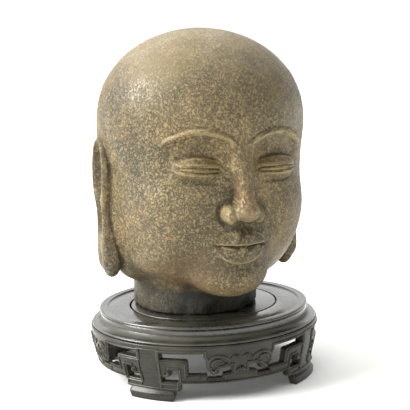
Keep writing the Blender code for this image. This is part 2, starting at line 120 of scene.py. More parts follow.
FINE_STEP = 0.0006
BEAD_SINK = 0.00005
# Share of the rubbed colour on the eased edges of the fretwork: partly wear, partly a painted highlight.
EDGE_WEAR_AND_SHEEN = 0.35
WALL_STRIPS = 60
WALL_COURSES = 26
LEG_SIDES = ("front_right", "back_right", "back_left", "front_left")

# The head, in units of a millimetre. Its chin is at height 0 and its crown at 238.
MILLIMETRE = 0.0010
CHIN_CLEARANCE = 22.0
NECK_HALF_WIDTH = 58.5
NECK_HALF_DEPTH = 66.0
NECK_SET_BACK = 19.0
HEAD_SET_FORWARD = 0.0080
HEAD_SET_LEFT = 0.0045
HEAD_LEAN = math.radians(1.9)
HEAD_PLACE = Vector((
    AXIS.x + CHIN_CLEARANCE * MILLIMETRE * math.sin(HEAD_LEAN) - HEAD_SET_LEFT,
    AXIS.y - HEAD_SET_FORWARD,
    HEAD_LOW.z + CHIN_CLEARANCE * MILLIMETRE))
EAR_OUT = 98.0
EAR_HALF_THICKNESS = 6.5
LOBE_HALF_THICKNESS = 10.0
EAR_HALF_WIDTH = 19.0
EAR_HALF_HEIGHT = 64.0
# A patch high on the left of the forehead that is polished smoother and is also tinted paler as a painted
# sheen.
POLISH_AND_SHEEN_PLACE = (-66.0, -50.0, 196.0)
POLISH_AND_SHEEN_REACH = 46.0
STAINED_PLACE = (-34.0, 24.0)
STAINED_REACH = (24.0, 36.0)
HEAD_MARKS = ("hollow", "worn", "patina", "polish_and_sheen", "stained", "painted_crown_light")
CHIP_COUNT = 46
CHIP_SEED = 11
HEAD_MIDDLE = (0.0, 8.0, 105.0)
EAR_MIDDLE = (EAR_OUT - EAR_HALF_THICKNESS, 9.0, 71.0)

# The stage.
FLOOR_HALF_WIDTH = 30.0
PICTURE_PIXELS = 410.0
SHIFT_ACROSS = 5.5 / PICTURE_PIXELS
SHIFT_UP = 0.2 / PICTURE_PIXELS
SENSOR_WIDTH = 36.0
LAMP_DISTANCE = 2.0
KEY_SPREAD_DEG = 36.0
TOP_SPREAD_DEG = 110.0


class StoneHeadSettings(bpy.types.PropertyGroup):
    columns: IntProperty(name="Columns", description="Points round the head", default=330, min=60)
    rows: IntProperty(name="Rows", description="Points from neck to crown", default=250, min=40)
    ear_columns: IntProperty(name="Ear columns", description="Points round an ear", default=92, min=24)
    ear_rows: IntProperty(name="Ear rows", description="Points from face to face of an ear", default=64,
                          min=16)
    unevenness: FloatProperty(
        name="Unevenness", description="Depth of the slow waves left by the carver", default=0.00035,
        unit="LENGTH", precision=5)
    chip_depth: FloatProperty(
        name="Chip depth", description="Deepest chip on the foot of the neck", default=0.0022,
        unit="LENGTH", precision=5)
    grain: FloatProperty(
        name="Grain", description="Size of the mottling of the stone", default=0.0017,
        unit="LENGTH", precision=5)
    tan: FloatVectorProperty(
        name="Tan", description="Main colour of the stone", subtype="COLOR", size=4, min=0.0, max=1.0,
        default=(0.166, 0.114, 0.045, 1.0))
    olive: FloatVectorProperty(
        name="Olive", description="Cooler colour of the stone's patches", subtype="COLOR", size=4,
        min=0.0, max=1.0, default=(0.110, 0.085, 0.037, 1.0))
    stain: FloatVectorProperty(
        name="Stain", description="Rusty stains", subtype="COLOR", size=4, min=0.0, max=1.0,
        default=(0.240, 0.130, 0.048, 1.0))
    pit_brown: FloatVectorProperty(
        name="Pit brown", description="Dark brown in the pits and etched lines", subtype="COLOR", size=4,
        min=0.0, max=1.0, default=(0.066, 0.047, 0.020, 1.0))
    # Pale is also laid on the polished patch as a painted sheen and on the crown as painted light from
    # above.
    pale: FloatVectorProperty(
        name="Pale", description="Pale flecks and worn edges", subtype="COLOR", size=4, min=0.0, max=1.0,
        default=(0.375, 0.285, 0.130, 1.0))
    # Patina is also laid in the hollows of the face as painted shade, partly dirt.
    patina: FloatVectorProperty(
        name="Patina", description="Dark skin round the neck", subtype="COLOR", size=4, min=0.0, max=1.0,
        default=(0.018, 0.019, 0.013, 1.0))
    roughness: FloatProperty(
        name="Roughness", description="Roughness of the stone", subtype="FACTOR", default=0.44,
        min=0.0, max=1.0)


class TurnedStandSettings(bpy.types.PropertyGroup):
    bead_width: FloatProperty(
        name="Bead width", description="Width of the carved line along each edge", default=0.0018,
        unit="LENGTH", precision=5)
    bead_height: FloatProperty(
        name="Bead height", description="How far a carved line stands out", default=0.0011,
        unit="LENGTH", precision=5)
    bead_margin: FloatProperty(
        name="Bead margin", description="From an edge of the wood to its carved line", default=0.0022,
        unit="LENGTH", precision=5)
    edge_round: FloatProperty(
        name="Edge rounding", description="Radius of the eased edges of the fretwork", default=0.0013,
        unit="LENGTH", precision=5)
    wood: FloatVectorProperty(
        name="Wood", description="Main colour of the hardwood", subtype="COLOR", size=4, min=0.0, max=1.0,
        default=(0.021, 0.0215, 0.015, 1.0))
    wood_dark: FloatVectorProperty(
        name="Dark grain", description="Colour of the dark grain", subtype="COLOR", size=4,
        min=0.0, max=1.0, default=(0.011, 0.0105, 0.008, 1.0))
    # Rubbed is laid on random patches, and on the eased edges and carved lines of the legs, where it is
    # partly wear and partly a painted highlight.
    rubbed: FloatVectorProperty(
        name="Rubbed", description="Colour of the rubbed edges", subtype="COLOR", size=4,
        min=0.0, max=1.0, default=(0.068, 0.061, 0.043, 1.0))
    dust: FloatVectorProperty(
        name="Dust", description="Dull olive film that lies in the cove", subtype="COLOR", size=4,
        min=0.0, max=1.0, default=(0.052, 0.050, 0.031, 1.0))
    roughness: FloatProperty(
        name="Roughness", description="Roughness of the polish", subtype="FACTOR", default=0.30,
        min=0.0, max=1.0)


class StudioStageSettings(bpy.types.PropertyGroup):
    focal_share: FloatProperty(
        name="Focal share", description="Focal length as a share of the picture's width",
        default=934.0 / PICTURE_PIXELS)
    distance: FloatProperty(
        name="Distance", description="From the stand's axis to the lens", default=0.884, unit="LENGTH")
    height: FloatProperty(
        name="Height", description="Height of the lens above the floor", default=0.281, unit="LENGTH")
    turn: FloatProperty(
        name="Turn", description="Angle of the camera round the stand", default=math.radians(-21.0),
        subtype="ANGLE")
    pitch: FloatProperty(
        name="Pitch", description="Downward tilt of the camera", default=math.radians(7.9),
        subtype="ANGLE")
    roll: FloatProperty(
        name="Roll", description="Roll of the camera", default=math.radians(2.19), subtype="ANGLE")
    floor: FloatVectorProperty(
        name="Floor", description="Colour of the floor", subtype="COLOR", size=4, min=0.0, max=1.0,
        default=(0.93, 0.935, 0.92, 1.0))
    wall: FloatProperty(
        name="Wall", description="Light from the white wall behind and on the left", default=1.04)
    room: FloatProperty(
        name="Room", description="Light from the dimmer room in front and on the right", default=0.06)
    key_strength: FloatProperty(
        name="Key strength", description="Strength of the large soft lamp on the left", default=5.1)
    top_strength: FloatProperty(
        name="Top strength", description="Strength of the soft lamp overhead", default=3.0)
    table_glow: FloatProperty(
        name="Table glow", description="Light that comes up through the white table", default=0.07)


# Shapes given by a distance, in millimetres.

def ellipsoid(p, centre, radii):
    q = p - np.array(centre)
    r = np.array(radii)
    k0 = np.sqrt(((q / r) ** 2).sum(axis=1)) + 1e-9
    k1 = np.sqrt(((q / (r * r)) ** 2).sum(axis=1)) + 1e-9
    return k0 * (k0 - 1.0) / k1


def bar(p, start, end, r_start, r_end):
    a = np.array(start)
    d = np.array(end) - a
    t = np.clip(((p - a) @ d) / (d @ d), 0.0, 1.0)
    q = p - a - t[:, None] * d
    return np.sqrt((q ** 2).sum(axis=1)) - (r_start + (r_end - r_start) * t)


def blend(a, b, k):
    h = np.clip(0.5 + 0.5 * (b - a) / k, 0.0, 1.0)
    return b + (a - b) * h - k * h * (1.0 - h)


def carve(a, b, k):
    return -blend(-a, b, k)


def bell(x, middle, width):
    return np.exp(-((x - middle) / width) ** 2)


def ease(x, low, high):
    t = np.clip((x - low) / (high - low), 0.0, 1.0)
    return t * t * (3.0 - 2.0 * t)


def skull_form(m):
    """The mass of the skull, cheeks, jaw and chin, with the neck under it."""
    x = m[:, 0]
    y = m[:, 1]
    z = m[:, 2]
    form = blend(ellipsoid(m, (0, 3, 157), (95, 104, 81)), ellipsoid(m, (0, 22, 100), (86, 82, 86)), 30.0)
    form = blend(form, ellipsoid(m, (0, -24, 92), (80, 71, 95)), 26.0)
    form = blend(form, ellipsoid(m, (35, -40, 76), (41, 46, 40)), 18.0)
    form = blend(form, ellipsoid(m, (36, -8, 50), (40, 56, 40)), 22.0)
    form = blend(form, ellipsoid(m, (0, -71, 19), (31, 22, 19)), 22.0)
    form = blend(form, ellipsoid(m, (64, 8, 62), (27, 28, 56)), 16.0)
    ring = np.sqrt((x / NECK_HALF_WIDTH) ** 2 + ((y - NECK_SET_BACK) / NECK_HALF_DEPTH) ** 2)
    neck = np.maximum((ring - 1.0) * min(NECK_HALF_WIDTH, NECK_HALF_DEPTH), z - 60.0)
    return blend(form, neck, 12.0)


def features_form(m, form):
    """Eyes, nose and lips set into the mass of the head."""
    form = carve(form, ellipsoid(m, (36, -103, 120), (24, 15, 15)), 10.0)
    form = blend(form, ellipsoid(m, (35.5, -75, 117), (22.5, 20.5, 15.0)), 3.0)
    ridge = bar(m, (0, -93, 136), (0, -107, 84), 6.0, 7.5)
    nose = blend(ridge, ellipsoid(m, (0, -107, 79), (9.5, 11, 8.5)), 6.0)
    nose = blend(nose, ellipsoid(m, (11.5, -98, 76), (7.5, 11, 8.0)), 4.0)
    form = blend(form, nose, 6.0)
    form = carve(form, ellipsoid(m, (6.5, -105, 68.5), (4.0, 6.5, 3.6)), 2.0)
    form = blend(form, ellipsoid(m, (0, -77, 48), (32, 20, 20)), 12.0)
    upper = bar(m, (4.0, -95.0, 54.2), (22, -89.0, 50.6), 7.4, 3.4)
    lower = bar(m, (0, -94.5, 41.4), (16, -90.0, 44.6), 8.4, 4.6)
    return blend(form, blend(upper, lower, 1.0), 3.0)


def shallow_carving(m):
    """Brow, lids, mouth line and folds, as a push along the depth of the face."""
    x = m[:, 0]
    z = m[:, 2]
    front = ease(-m[:, 1], 50.0, 74.0)
    arch = np.sin(np.clip((x - 4.0) / 66.0, 0.0, 1.0) * math.pi) ** 0.75
    brow_line = 132.0 + 15.0 * arch - 0.04 * x
    brow_reach = ease(x, 4.0, 12.0) * (1.0 - ease(x, 58.0, 70.0))
    brow = 2.0 * bell(z, brow_line + 0.8, 2.2) * brow_reach
    brow_groove = -1.1 * bell(z, brow_line + 5.0, 1.0) * brow_reach
    socket_reach = ease(x, 8.0, 15.0) * (1.0 - ease(x, 50.0, 68.0))
    socket = -2.6 * (1.0 - ease(z, brow_line - 3.0, brow_line))
    socket = socket * ease(z, brow_line - 36.0, brow_line - 12.0)
    almond = np.sqrt(np.clip(1.0 - ((x - 35.5) / 20.0) ** 2, 0.0, 1.0))
    gaze = 113.8 + 0.05 * (x - 35.5)
    upper_lid = gaze + 2.4 * almond
    lower_lid = gaze - 1.9 * almond
    eye_reach = 1.0 - ease(np.abs(x - 35.5), 16.0, 21.0)
    lids = 1.3 * bell(z, upper_lid + 2.0, 1.4) + 0.9 * bell(z, lower_lid - 1.9, 1.3)
    slit = -1.9 * bell(z, upper_lid, 0.9) - 1.2 * bell(z, lower_lid, 0.8)
    crease = -1.5 * bell(z, gaze + 5.0 + 7.0 * almond, 1.2)
    bag = -0.9 * bell(z, lower_lid - 8.4, 1.8) * (1.0 - ease(np.abs(x - 34.0), 12.0, 22.0))
    wing = np.sqrt((x - 11.0) ** 2 + (z - 77.0) ** 2)
    wing_crease = -1.5 * bell(wing, 9.8, 1.5) * ease(x, 11.0, 16.0) * (1.0 - ease(z, 84.0, 89.0))
    mouth_line = 48.3 - 0.7 * bell(x, 0.0, 8.0) + 0.02 * x
    mouth = -2.6 * bell(z, mouth_line, 1.1) * (1.0 - ease(x, 21.0, 26.0))
    upper_edge = 61.6 - 2.0 * bell(x, 0.0, 3.4) - 0.014 * x * x
    lower_edge = 32.8 + 0.022 * x * x
    lip_edges = 0.7 * (bell(z, upper_edge, 1.0) + bell(z, lower_edge, 1.0)) * (1.0 - ease(x, 17.0, 24.0))
    corner = -1.1 * bell(x, 26.0, 3.4) * bell(z, 48.8, 4.0)
    gutter = -0.8 * bell(x, 0.0, 2.8) * ease(z, 57.0, 60.0) * (1.0 - ease(z, 68.0, 72.0))
    chin_crease = -1.8 * bell(z, 30.0, 4.0) * bell(x, 0.0, 17.0)
    fold = -0.7 * bell(x, 20.0 + 0.36 * (78.0 - z), 3.0)
    fold = fold * ease(z, 52.0, 62.0) * (1.0 - ease(z, 74.0, 84.0))
    eyes = socket * socket_reach + (lids + slit + crease) * eye_reach + bag
    lips = mouth + lip_edges + corner + gutter + chin_crease
    return (brow + brow_groove + eyes + wing_crease + lips + fold) * front


def above_foot(p):
    """Height over the foot of the neck, which is cut level under a leaning head."""
    return p[:, 2] * math.cos(HEAD_LEAN) - p[:, 0] * math.sin(HEAD_LEAN) + CHIN_CLEARANCE


def head_form(p):
    """Distance to the carved head: negative inside, with the chin at height 0 and the crown at 238."""
    m = p.copy()
    m[:, 0] = np.abs(m[:, 0])
    form = features_form(m, skull_form(m)) - shallow_carving(m)
    return carve(form, above_foot(p), 3.0)


def ear_rim(y, z):
    """How far a place on the side of the head lies outside the outline of the long ear."""
    flat = np.stack([np.zeros_like(y), y, z], axis=1)
    shell = ellipsoid(flat, (0, 13, 106), (200, 20, 33))
    lobe = bar(flat, (0, 8, 84), (0, 3, 32), 12.0, 12.0)
    return blend(shell, lobe, 8.0)


def ear_form(p):
    """Distance to the plain slab of the ear on the side of positive X, with its thick lobe."""
    slab = np.abs(p[:, 0] - EAR_OUT + EAR_HALF_THICKNESS) - EAR_HALF_THICKNESS
    flap = carve(ear_rim(p[:, 1], p[:, 2]), -slab, 5.0)
    lobe = ellipsoid(p, (EAR_OUT - LOBE_HALF_THICKNESS, 3, 31), (LOBE_HALF_THICKNESS, 13.5, 21))
    return blend(flap, lobe, 5.0)


def ear_relief(p):
    """How deep the outer face of the ear is carved at each point."""
    y = p[:, 1]
    z = p[:, 2]
    inward = np.clip(-ear_rim(y, z), 0.0, 14.0)
    upper = ease(z, 46.0, 64.0)
    bowl = 3.6 * ease(inward, 2.8, 5.4) * upper
    fold = 3.0 * bell(inward, 9.6, 1.9) * ease(y, 3.0, 11.0) * upper
    hollow = 2.6 * ease(inward, 9.8, 12.6) * ease(z, 66.0, 78.0)
    tragus = 1.6 * bell(y, -3.0, 3.4) * bell(z, 82.0, 6.4)
    dimple = 1.8 * bell(y, 3.0, 4.6) * bell(z, 28.0, 12.0)
    outside = ease(p[:, 0], EAR_OUT - EAR_HALF_THICKNESS, EAR_OUT - EAR_HALF_THICKNESS * 0.4)
    return (bowl - fold + hollow - tragus + dimple) * outside


def whole_form(p):
    """Distance to the head with both of its ears."""
    m = p.copy()
    m[:, 0] = np.abs(m[:, 0])
    return np.minimum(head_form(p), ear_form(m))


def cast(form, centre, rays):
    """Move along each ray from a centre to the place where it leaves a form."""
    rays = rays / np.sqrt((rays ** 2).sum(axis=1))[:, None]
    far = np.full(len(rays), 200.0)
    for _ in range(64):
        gap = form(centre + rays * far[:, None])
        far = np.clip(far - np.clip(gap * 0.6, -6.0, 12.0), 1.0, 200.0)
    return centre + rays * far[:, None]


def head_points(ball):
    """Points of a sphere moved onto the head, more of them on the face."""
    turn = np.arctan2(ball[:, 0], -ball[:, 1])
    turn = turn - 0.55 * np.sin(turn)
    fall = np.arccos(np.clip(ball[:, 2], -1.0, 1.0))
    shares = (0.0, 0.17, 0.82, 0.94, 1.0)
    fall = np.radians(np.interp(fall / math.pi, shares, (0.0, 56.0, 137.0, 158.0, 180.0)))
    rays = np.stack([np.sin(fall) * np.sin(turn), -np.sin(fall) * np.cos(turn), np.cos(fall)], axis=1)
    return cast(head_form, np.array(HEAD_MIDDLE), rays)


def ear_points(ball):
    """Points of a sphere moved onto the ear on the side of positive X."""
    out = np.clip(ball[:, 2] * math.sqrt(2.0), -1.0, 1.0)
    across = np.sqrt(ball[:, 0] ** 2 + ball[:, 1] ** 2) + 1e-9
    spread = np.minimum(across * math.sqrt(2.0), 1.0) / across
    rays = np.stack([out, spread * ball[:, 1], spread * ball[:, 0]], axis=1)
    rays = rays * np.array((EAR_HALF_THICKNESS, EAR_HALF_WIDTH, EAR_HALF_HEIGHT))
    points = cast(ear_form, np.array(EAR_MIDDLE), rays)
    points[:, 0] -= ear_relief(points)
    return points


# Mesh helpers.

def link_piece(name, mesh):
    piece = bpy.data.objects.new(name, mesh)
    bpy.context.scene.collection.objects.link(piece)
    return piece


def piece_from(bm, name):
    mesh = bpy.data.meshes.new(name)
    bm.to_mesh(mesh)
    bm.free()
    return link_piece(name, mesh)


def places_of(bm):
    return np.array([v.co[:] for v in bm.verts])


def normals_of(bm):
    bm.normal_update()
    return np.array([v.normal[:] for v in bm.verts])


def move_to(bm, points):
    for v, point in zip(bm.verts, points):
        v.co = point


def wander(points, scale, shift=(0.0, 0.0, 0.0)):
    """Smooth noise from about -1 to 1 at each point."""
    return np.array([noise.noise(Vector(p) * scale + Vector(shift)) for p in points])


def mesh_of(thing):
    """The evaluated mesh of an object, which is then removed."""
    bpy.context.view_layer.update()
    evaluated = thing.evaluated_get(bpy.context.evaluated_depsgraph_get())
    mesh = bpy.data.meshes.new_from_object(evaluated)
    bpy.data.objects.remove(thing, do_unlink=True)
    return mesh


def finish_piece(piece, material, nodes, sharp_deg):
    """Shade a finished piece, give it its material and let it stand for its CAD nodes."""
    piece.data.materials.clear()
    piece.data.materials.append(material)
    piece.data.shade_smooth()
    piece.data.set_sharp_from_angle(angle=math.radians(sharp_deg))
    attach(piece, "root")
    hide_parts(*nodes)


def cast_sphere(name, columns, rows, find_points, side):
    """A sphere whose points are moved onto a carved form, in millimetres."""
    bm = bmesh.new()
    bmesh.ops.create_uvsphere(bm, u_segments=columns, v_segments=rows, radius=1.0)
    move_to(bm, find_points(places_of(bm)) * np.array((side, 1.0, 1.0)))
    bmesh.ops.recalc_face_normals(bm, faces=bm.faces)
    return piece_from(bm, name)


def joined_head(settings):
    """The head with both ears as one closed mesh, in millimetres."""
    share = 1.0
    columns = int(settings.columns * share)
    rows = int(settings.rows * share)
    ear_columns = int(settings.ear_columns * share)
    ear_rows = int(settings.ear_rows * share)
    head = cast_sphere("stone_head", columns, rows, head_points, 1.0)
    ears = []
    for side in (1.0, -1.0):
        ear = cast_sphere("ear", ear_columns, ear_rows, ear_points, side)
        join = head.modifiers.new("join_ear", "BOOLEAN")
        join.operation = "UNION"
        join.solver = "EXACT"
        join.object = ear
        ears.append(ear)
    mesh = mesh_of(head)
    for ear in ears:
        bpy.data.objects.remove(ear, do_unlink=True)
    return mesh


def soften_ear_roots(bm):
    """Round the inner corner where each ear grows out of the head."""
    points = places_of(bm)
    to_head = head_form(points)
    points[:, 0] = np.abs(points[:, 0])
    to_ear = ear_form(points)
    near = [v for v, a, b in zip(bm.verts, to_head, to_ear) if abs(a) < 2.6 and abs(b) < 2.6]
    for _ in range(5):
        bmesh.ops.smooth_vert(
            bm, verts=near, factor=0.5, use_axis_x=True, use_axis_y=True, use_axis_z=True)


def chip_places():
    """Places of chips along the lower edge of the neck: centre, radius and depth, in millimetres."""
    chance = random.Random(CHIP_SEED)
    chips = []
    for _ in range(CHIP_COUNT):
        turn = chance.uniform(0.0, 2.0 * math.pi)
        x = NECK_HALF_WIDTH * math.sin(turn)
        y = NECK_SET_BACK - NECK_HALF_DEPTH * math.cos(turn)
        z = x * math.tan(HEAD_LEAN) - CHIN_CLEARANCE + chance.uniform(-1.0, 5.0)
        radius = chance.uniform(2.6, 8.0)
        chips.append((np.array((x, y, z)), radius, chance.uniform(0.25, 1.0) * min(1.0, radius / 5.0)))
    return chips


def weather_head(bm, settings):
    """Slow waves, small dents and chips on the stone."""
    points = places_of(bm)
    wave = wander(points, 0.045)
    ripple = wander(points, 0.16, (7.0, 3.0, 1.0))
    dent = wander(points, 0.42, (1.0, 9.0, 4.0))
    depth = settings.unevenness / MILLIMETRE
    push = depth * (0.9 * wave + 0.45 * ripple + 0.35 * np.minimum(dent, 0.0))
    low = ease(-points[:, 2], 4.0, 12.0)
    push += -depth * 2.2 * low * np.abs(ripple + 0.6 * dent)
    for centre, radius, share in chip_places():
        away = np.sqrt(((points - centre) ** 2).sum(axis=1)) / radius
        push -= share * settings.chip_depth / MILLIMETRE * np.clip(1.0 - away ** 2, 0.0, 1.0)
    push = np.where(above_foot(points) < 0.05, 0.0, push)
    move_to(bm, points + normals_of(bm) * push[:, None])


def mark_head(bm):
    """Keep on each point how hollow, worn, darkened, polished and stained the stone is there, and how much
    painted light from above lies on the crown; the hollows also carry painted shade, partly dirt, and the
    polished patch a painted sheen.
    """
    points = places_of(bm)
    normals = normals_of(bm)
    near = whole_form(points + normals * 2.2) / 2.2
    wide = whole_form(points + normals * 8.0) / 8.0
    inside = -whole_form(points - normals * 3.0) / 3.0
    # hollow: how sunken the surface is; it darkens the colour as painted shade in recesses, partly dirt,
    # and roughens it.
    hollow = np.clip(1.15 - 0.5 * near - 0.6 * wide, 0.0, 1.0)
    worn = np.clip(near - inside, 0.0, 1.0)
    drift = wander(points, 0.09)
    speck = wander(points, 0.5)
    side = ease(points[:, 0], -58.0, -30.0)
    height = points[:, 2] + 7.0 * drift + 2.4 * speck + 12.0 * ease(-points[:, 1], 50.0, 64.0)
    patina = (1.0 - ease(height, -2.0, 8.0)) * (0.72 + 0.28 * side)
    # Polished patch: smoother and less pitted, and tinted paler further on as a painted sheen.
    away = np.sqrt(((points - POLISH_AND_SHEEN_PLACE) ** 2).sum(axis=1)) / POLISH_AND_SHEEN_REACH
    polish_and_sheen = 1.0 - ease(away + 0.35 * drift + 0.12 * speck, 0.2, 1.15)
    run = np.sqrt((((points[:, [0, 2]] - STAINED_PLACE) / STAINED_REACH) ** 2).sum(axis=1))
    stained = (1.0 - ease(run + 0.6 * drift + 0.25 * speck, 0.25, 1.15)) * ease(-points[:, 1], 0.0, 20.0)
    # Lighter towards the crown: painted light from above.
    painted_crown_light = ease(points[:, 2] + 10.0 * drift, 178.0, 236.0)
    for name, values in zip(HEAD_MARKS, (hollow, worn, patina, polish_and_sheen, stained, painted_crown_light)):
        layer = bm.verts.layers.float.new(name)
        for v, value in zip(bm.verts, values):
            v[layer] = float(value)


def carve_head(settings):
    bm = bmesh.new()
    mesh = joined_head(settings)
    bm.from_mesh(mesh)
    bpy.data.meshes.remove(mesh)
    bmesh.ops.remove_doubles(bm, verts=bm.verts, dist=0.002)
    soften_ear_roots(bm)
    weather_head(bm, settings)
    mark_head(bm)
    lean = Matrix.Rotation(HEAD_LEAN, 3, "Y")
    bmesh.ops.rotate(bm, verts=bm.verts, cent=(0.0, 0.0, 0.0), matrix=lean)
    for v in bm.verts:
        v.co.z = -CHIN_CLEARANCE if v.co.z < 0.06 - CHIN_CLEARANCE else v.co.z
    bmesh.ops.scale(bm, verts=bm.verts, vec=(MILLIMETRE, MILLIMETRE, MILLIMETRE))
    bmesh.ops.translate(bm, verts=bm.verts, vec=HEAD_PLACE)
    piece = piece_from(bm, "stone_head")
    finish_piece(piece, stone_material(settings), ("head",), 60.0)


# The turned parts of the stand.

def moulding(middle_radius, middle_height, half_width, half_height, start, end, count):
    """Points of a rounded moulding, from one angle to another in degrees."""
    points = []
    for i in range(count):
        a = math.radians(start + (end - start) * i / (count - 1))
        points.append((middle_radius + half_width * math.cos(a), middle_height + half_height * math.sin(a)))
    return points


def top_profile():
    """The section of the turned top, from its inner lower edge up and over the rim to the ring below."""
    top = STAND_HEIGHT
    under = TOP_UNDERSIDE
    hole = PANEL_RADIUS + PANEL_GAP
    ledge_z = PANEL_UNDERSIDE - TOUCH_GAP
    rim_low = top - RIM_BEAD_HEIGHT
    band_low = rim_low - BAND_HEIGHT
    waist = RIM_RADIUS - WAIST_INSET
    edge = SHOULDER_RADIUS - RING_OVERHANG
    bead_half = RING_BEAD_HEIGHT / 2.0
    rim_half = RIM_BEAD_HEIGHT / 2.0
    inner = RIM_RADIUS - RIM_WIDTH
    points = [(hole - PANEL_LEDGE, under), (hole - PANEL_LEDGE, ledge_z), (hole, ledge_z)]
    points += moulding(hole + 0.0005, SEAT - 0.0005, 0.0005, 0.0005, 180.0, 90.0, 4)
    points += [(inner - 0.0016, SEAT), (inner - 0.0010, SEAT - 0.00025), (inner - 0.0003, SEAT - 0.00025)]
    points += moulding(inner + 0.0009, SEAT + 0.0001, 0.0011, 0.00085, 170.0, 80.0, 6)
    points += [(RIM_RADIUS - 0.0048, top - 0.00045)]
    points += moulding(RIM_RADIUS - 0.0025, top - rim_half, 0.0025, rim_half, 112.0, -68.0, 15)
    points += [(waist + 0.0004, rim_low - 0.0001)]
    points += moulding(waist + 0.0004, rim_low - 0.0009, 0.0006, 0.0005, 80.0, 0.0, 4)
    points += moulding(waist + 0.0004, band_low + 0.0009, 0.0006, 0.0005, 0.0, -80.0, 4)
    points += [(waist - 0.0003, band_low + 0.0001), (waist - 0.0003, band_low - 0.0003)]
    low = under + RING_BEAD_HEIGHT
    for i in range(1, 12):
        a = math.radians(90.0 * i / 11.0)
        out = waist + (edge - bead_half * 1.3 - waist) * (1.0 - math.cos(a))
        points.append((out, band_low - 0.0003 - (band_low - low - 0.0005) * math.sin(a)))
    points += [(edge - bead_half * 1.2, low - 0.0001)]
    points += moulding(edge - bead_half, under + bead_half, bead_half, bead_half, 70.0, -90.0, 10)
    return points


def panel_profile():
    """The section of the flat panel let into the top, from its middle outwards and down."""
    edge = PANEL_RADIUS
    points = [(0.0, SEAT), (edge * 0.5, SEAT)]
    points += moulding(edge - 0.0006, SEAT - 0.0006, 0.0006, 0.0006, 90.0, 0.0, 5)
    points += [(edge, PANEL_UNDERSIDE), (0.0, PANEL_UNDERSIDE)]
    return points


def turn_piece(name, profile, node, material):
    """Spin a section round the stand's axis."""
    bm = bmesh.new()
    rail = [bm.verts.new((radius, 0.0, height)) for radius, height in profile]
    for a, b in zip(rail, rail[1:]):
        bm.edges.new((a, b))
    if profile[0][0] > 0.0:
        bm.edges.new((rail[-1], rail[0]))
    bmesh.ops.spin(
        bm, geom=list(bm.verts) + list(bm.edges), cent=(0.0, 0.0, 0.0), axis=(0.0, 0.0, 1.0),
        dvec=(0.0, 0.0, 0.0), angle=2.0 * math.pi, steps=TURNING_STEPS, use_merge=True)
    bmesh.ops.remove_doubles(bm, verts=bm.verts, dist=0.000005)
    bmesh.ops.translate(bm, verts=bm.verts, vec=AXIS)
    bmesh.ops.recalc_face_normals(bm, faces=bm.faces)
    finish_piece(piece_from(bm, name), material, (node,), 38.0)


# The carved legs with the pierced wall between them.

def wall_radius(z):
    """Outer radius of the wall and legs at a height, with its corners eased."""
    toe = SHOULDER_RADIUS - TOE_INSET
    ankle = SHOULDER_RADIUS - ANKLE_INSET
    belly = SHOULDER_RADIUS - ANKLE_INSET * 0.35
    levels = (0.0, FOOT_HEIGHT * 0.66, FOOT_HEIGHT, RAIL_BOTTOM, HOOK_TOP * 0.87, TOP_UNDERSIDE)
    radii = (toe, toe, ankle + 0.0010, ankle, belly, SHOULDER_RADIUS)
    around = [np.interp(z + shift, levels, radii) for shift in (-0.0008, 0.0, 0.0008)]
    return float(sum(around) / 3.0)


def leg_outline(reach, end, top):
    """Half of a leg unit seen flat. Each corner has a place along, a height and a rounding."""
    edge = [
        (FOOT_HALF_WIDTH, 0.0, 0.0004),
        (FOOT_HALF_WIDTH + FOOT_FLARE, FOOT_HEIGHT * 0.66, 0.0018),
        (FOOT_HALF_WIDTH + FOOT_FLARE * 0.5, BLOCK_BOTTOM, 0.0006),
        (BLOCK_HALF_WIDTH, BLOCK_BOTTOM, 0.0016),
        (BLOCK_HALF_WIDTH, RAIL_BOTTOM, 0.0012),
        (end, RAIL_BOTTOM, 0.0),
        (end, top, 0.0),
    ]
    inner = HOOK_REACH - HOOK_BAND
    eye = [
        (POST_HALF_WIDTH, HOOK_EYE_FLOOR, 0.0006),
        (inner, HOOK_EYE_FLOOR, 0.0022),
        (inner, HOOK_EYE_TOP, 0.0022),
        (TAB_REACH + 0.0008, HOOK_EYE_TOP, 0.0012),
        (TAB_REACH, TAB_FLOOR, 0.0030),
        (POST_HALF_WIDTH, TAB_FLOOR, 0.0008),
    ]
    cloud = reach - CLOUD_REACH
    lobe_out = reach - CLOUD_LOBE_OUT
    lobe_in = reach - CLOUD_LOBE_IN
    stem = reach - CLOUD_STEM
    opening = [
        (HOOK_REACH, RAIL_TOP, 0.0008),
        (cloud + 0.0006, RAIL_TOP, 0.0008),
        (cloud + 0.0006, RAIL_TOP - RAIL_STEP, 0.0012),
        (lobe_in + 0.0026, RAIL_TOP - RAIL_STEP, 0.0012),
        (lobe_in + 0.0026, RAIL_TOP, 0.0010),
        (stem, RAIL_TOP + RAIL_RISE * 0.5, 0.0010),
        (stem, CLOUD_BOTTOM + RAIL_RISE, 0.0016),
        (lobe_in + 0.0008, CLOUD_BOTTOM + RAIL_RISE * 0.4, 0.0012),
        (lobe_in - 0.0014, CLOUD_LOBE_BOTTOM, 0.0026),
        (lobe_out + 0.0018, CLOUD_LOBE_BOTTOM, 0.0026),
        (lobe_out, CLOUD_BOTTOM, 0.0012),
        (cloud, CLOUD_BOTTOM + 0.0008, 0.0010),
        (cloud - 0.0006, TOP_RAIL_BOTTOM - 0.0052, 0.0010),
        (cloud - 0.0022, TOP_RAIL_BOTTOM - 0.0036, 0.0008),
        (cloud - 0.0022, TOP_RAIL_BOTTOM, 0.0008),
        (POST_HALF_WIDTH, TOP_RAIL_BOTTOM, 0.0010),
        (POST_HALF_WIDTH, HOOK_TOP, 0.0008),
        (HOOK_REACH, HOOK_TOP, 0.0030),
    ]
    return edge, [eye, opening]


def mirrored(points):
    return [(-point[0],) + tuple(point[1:]) for point in reversed(points)]


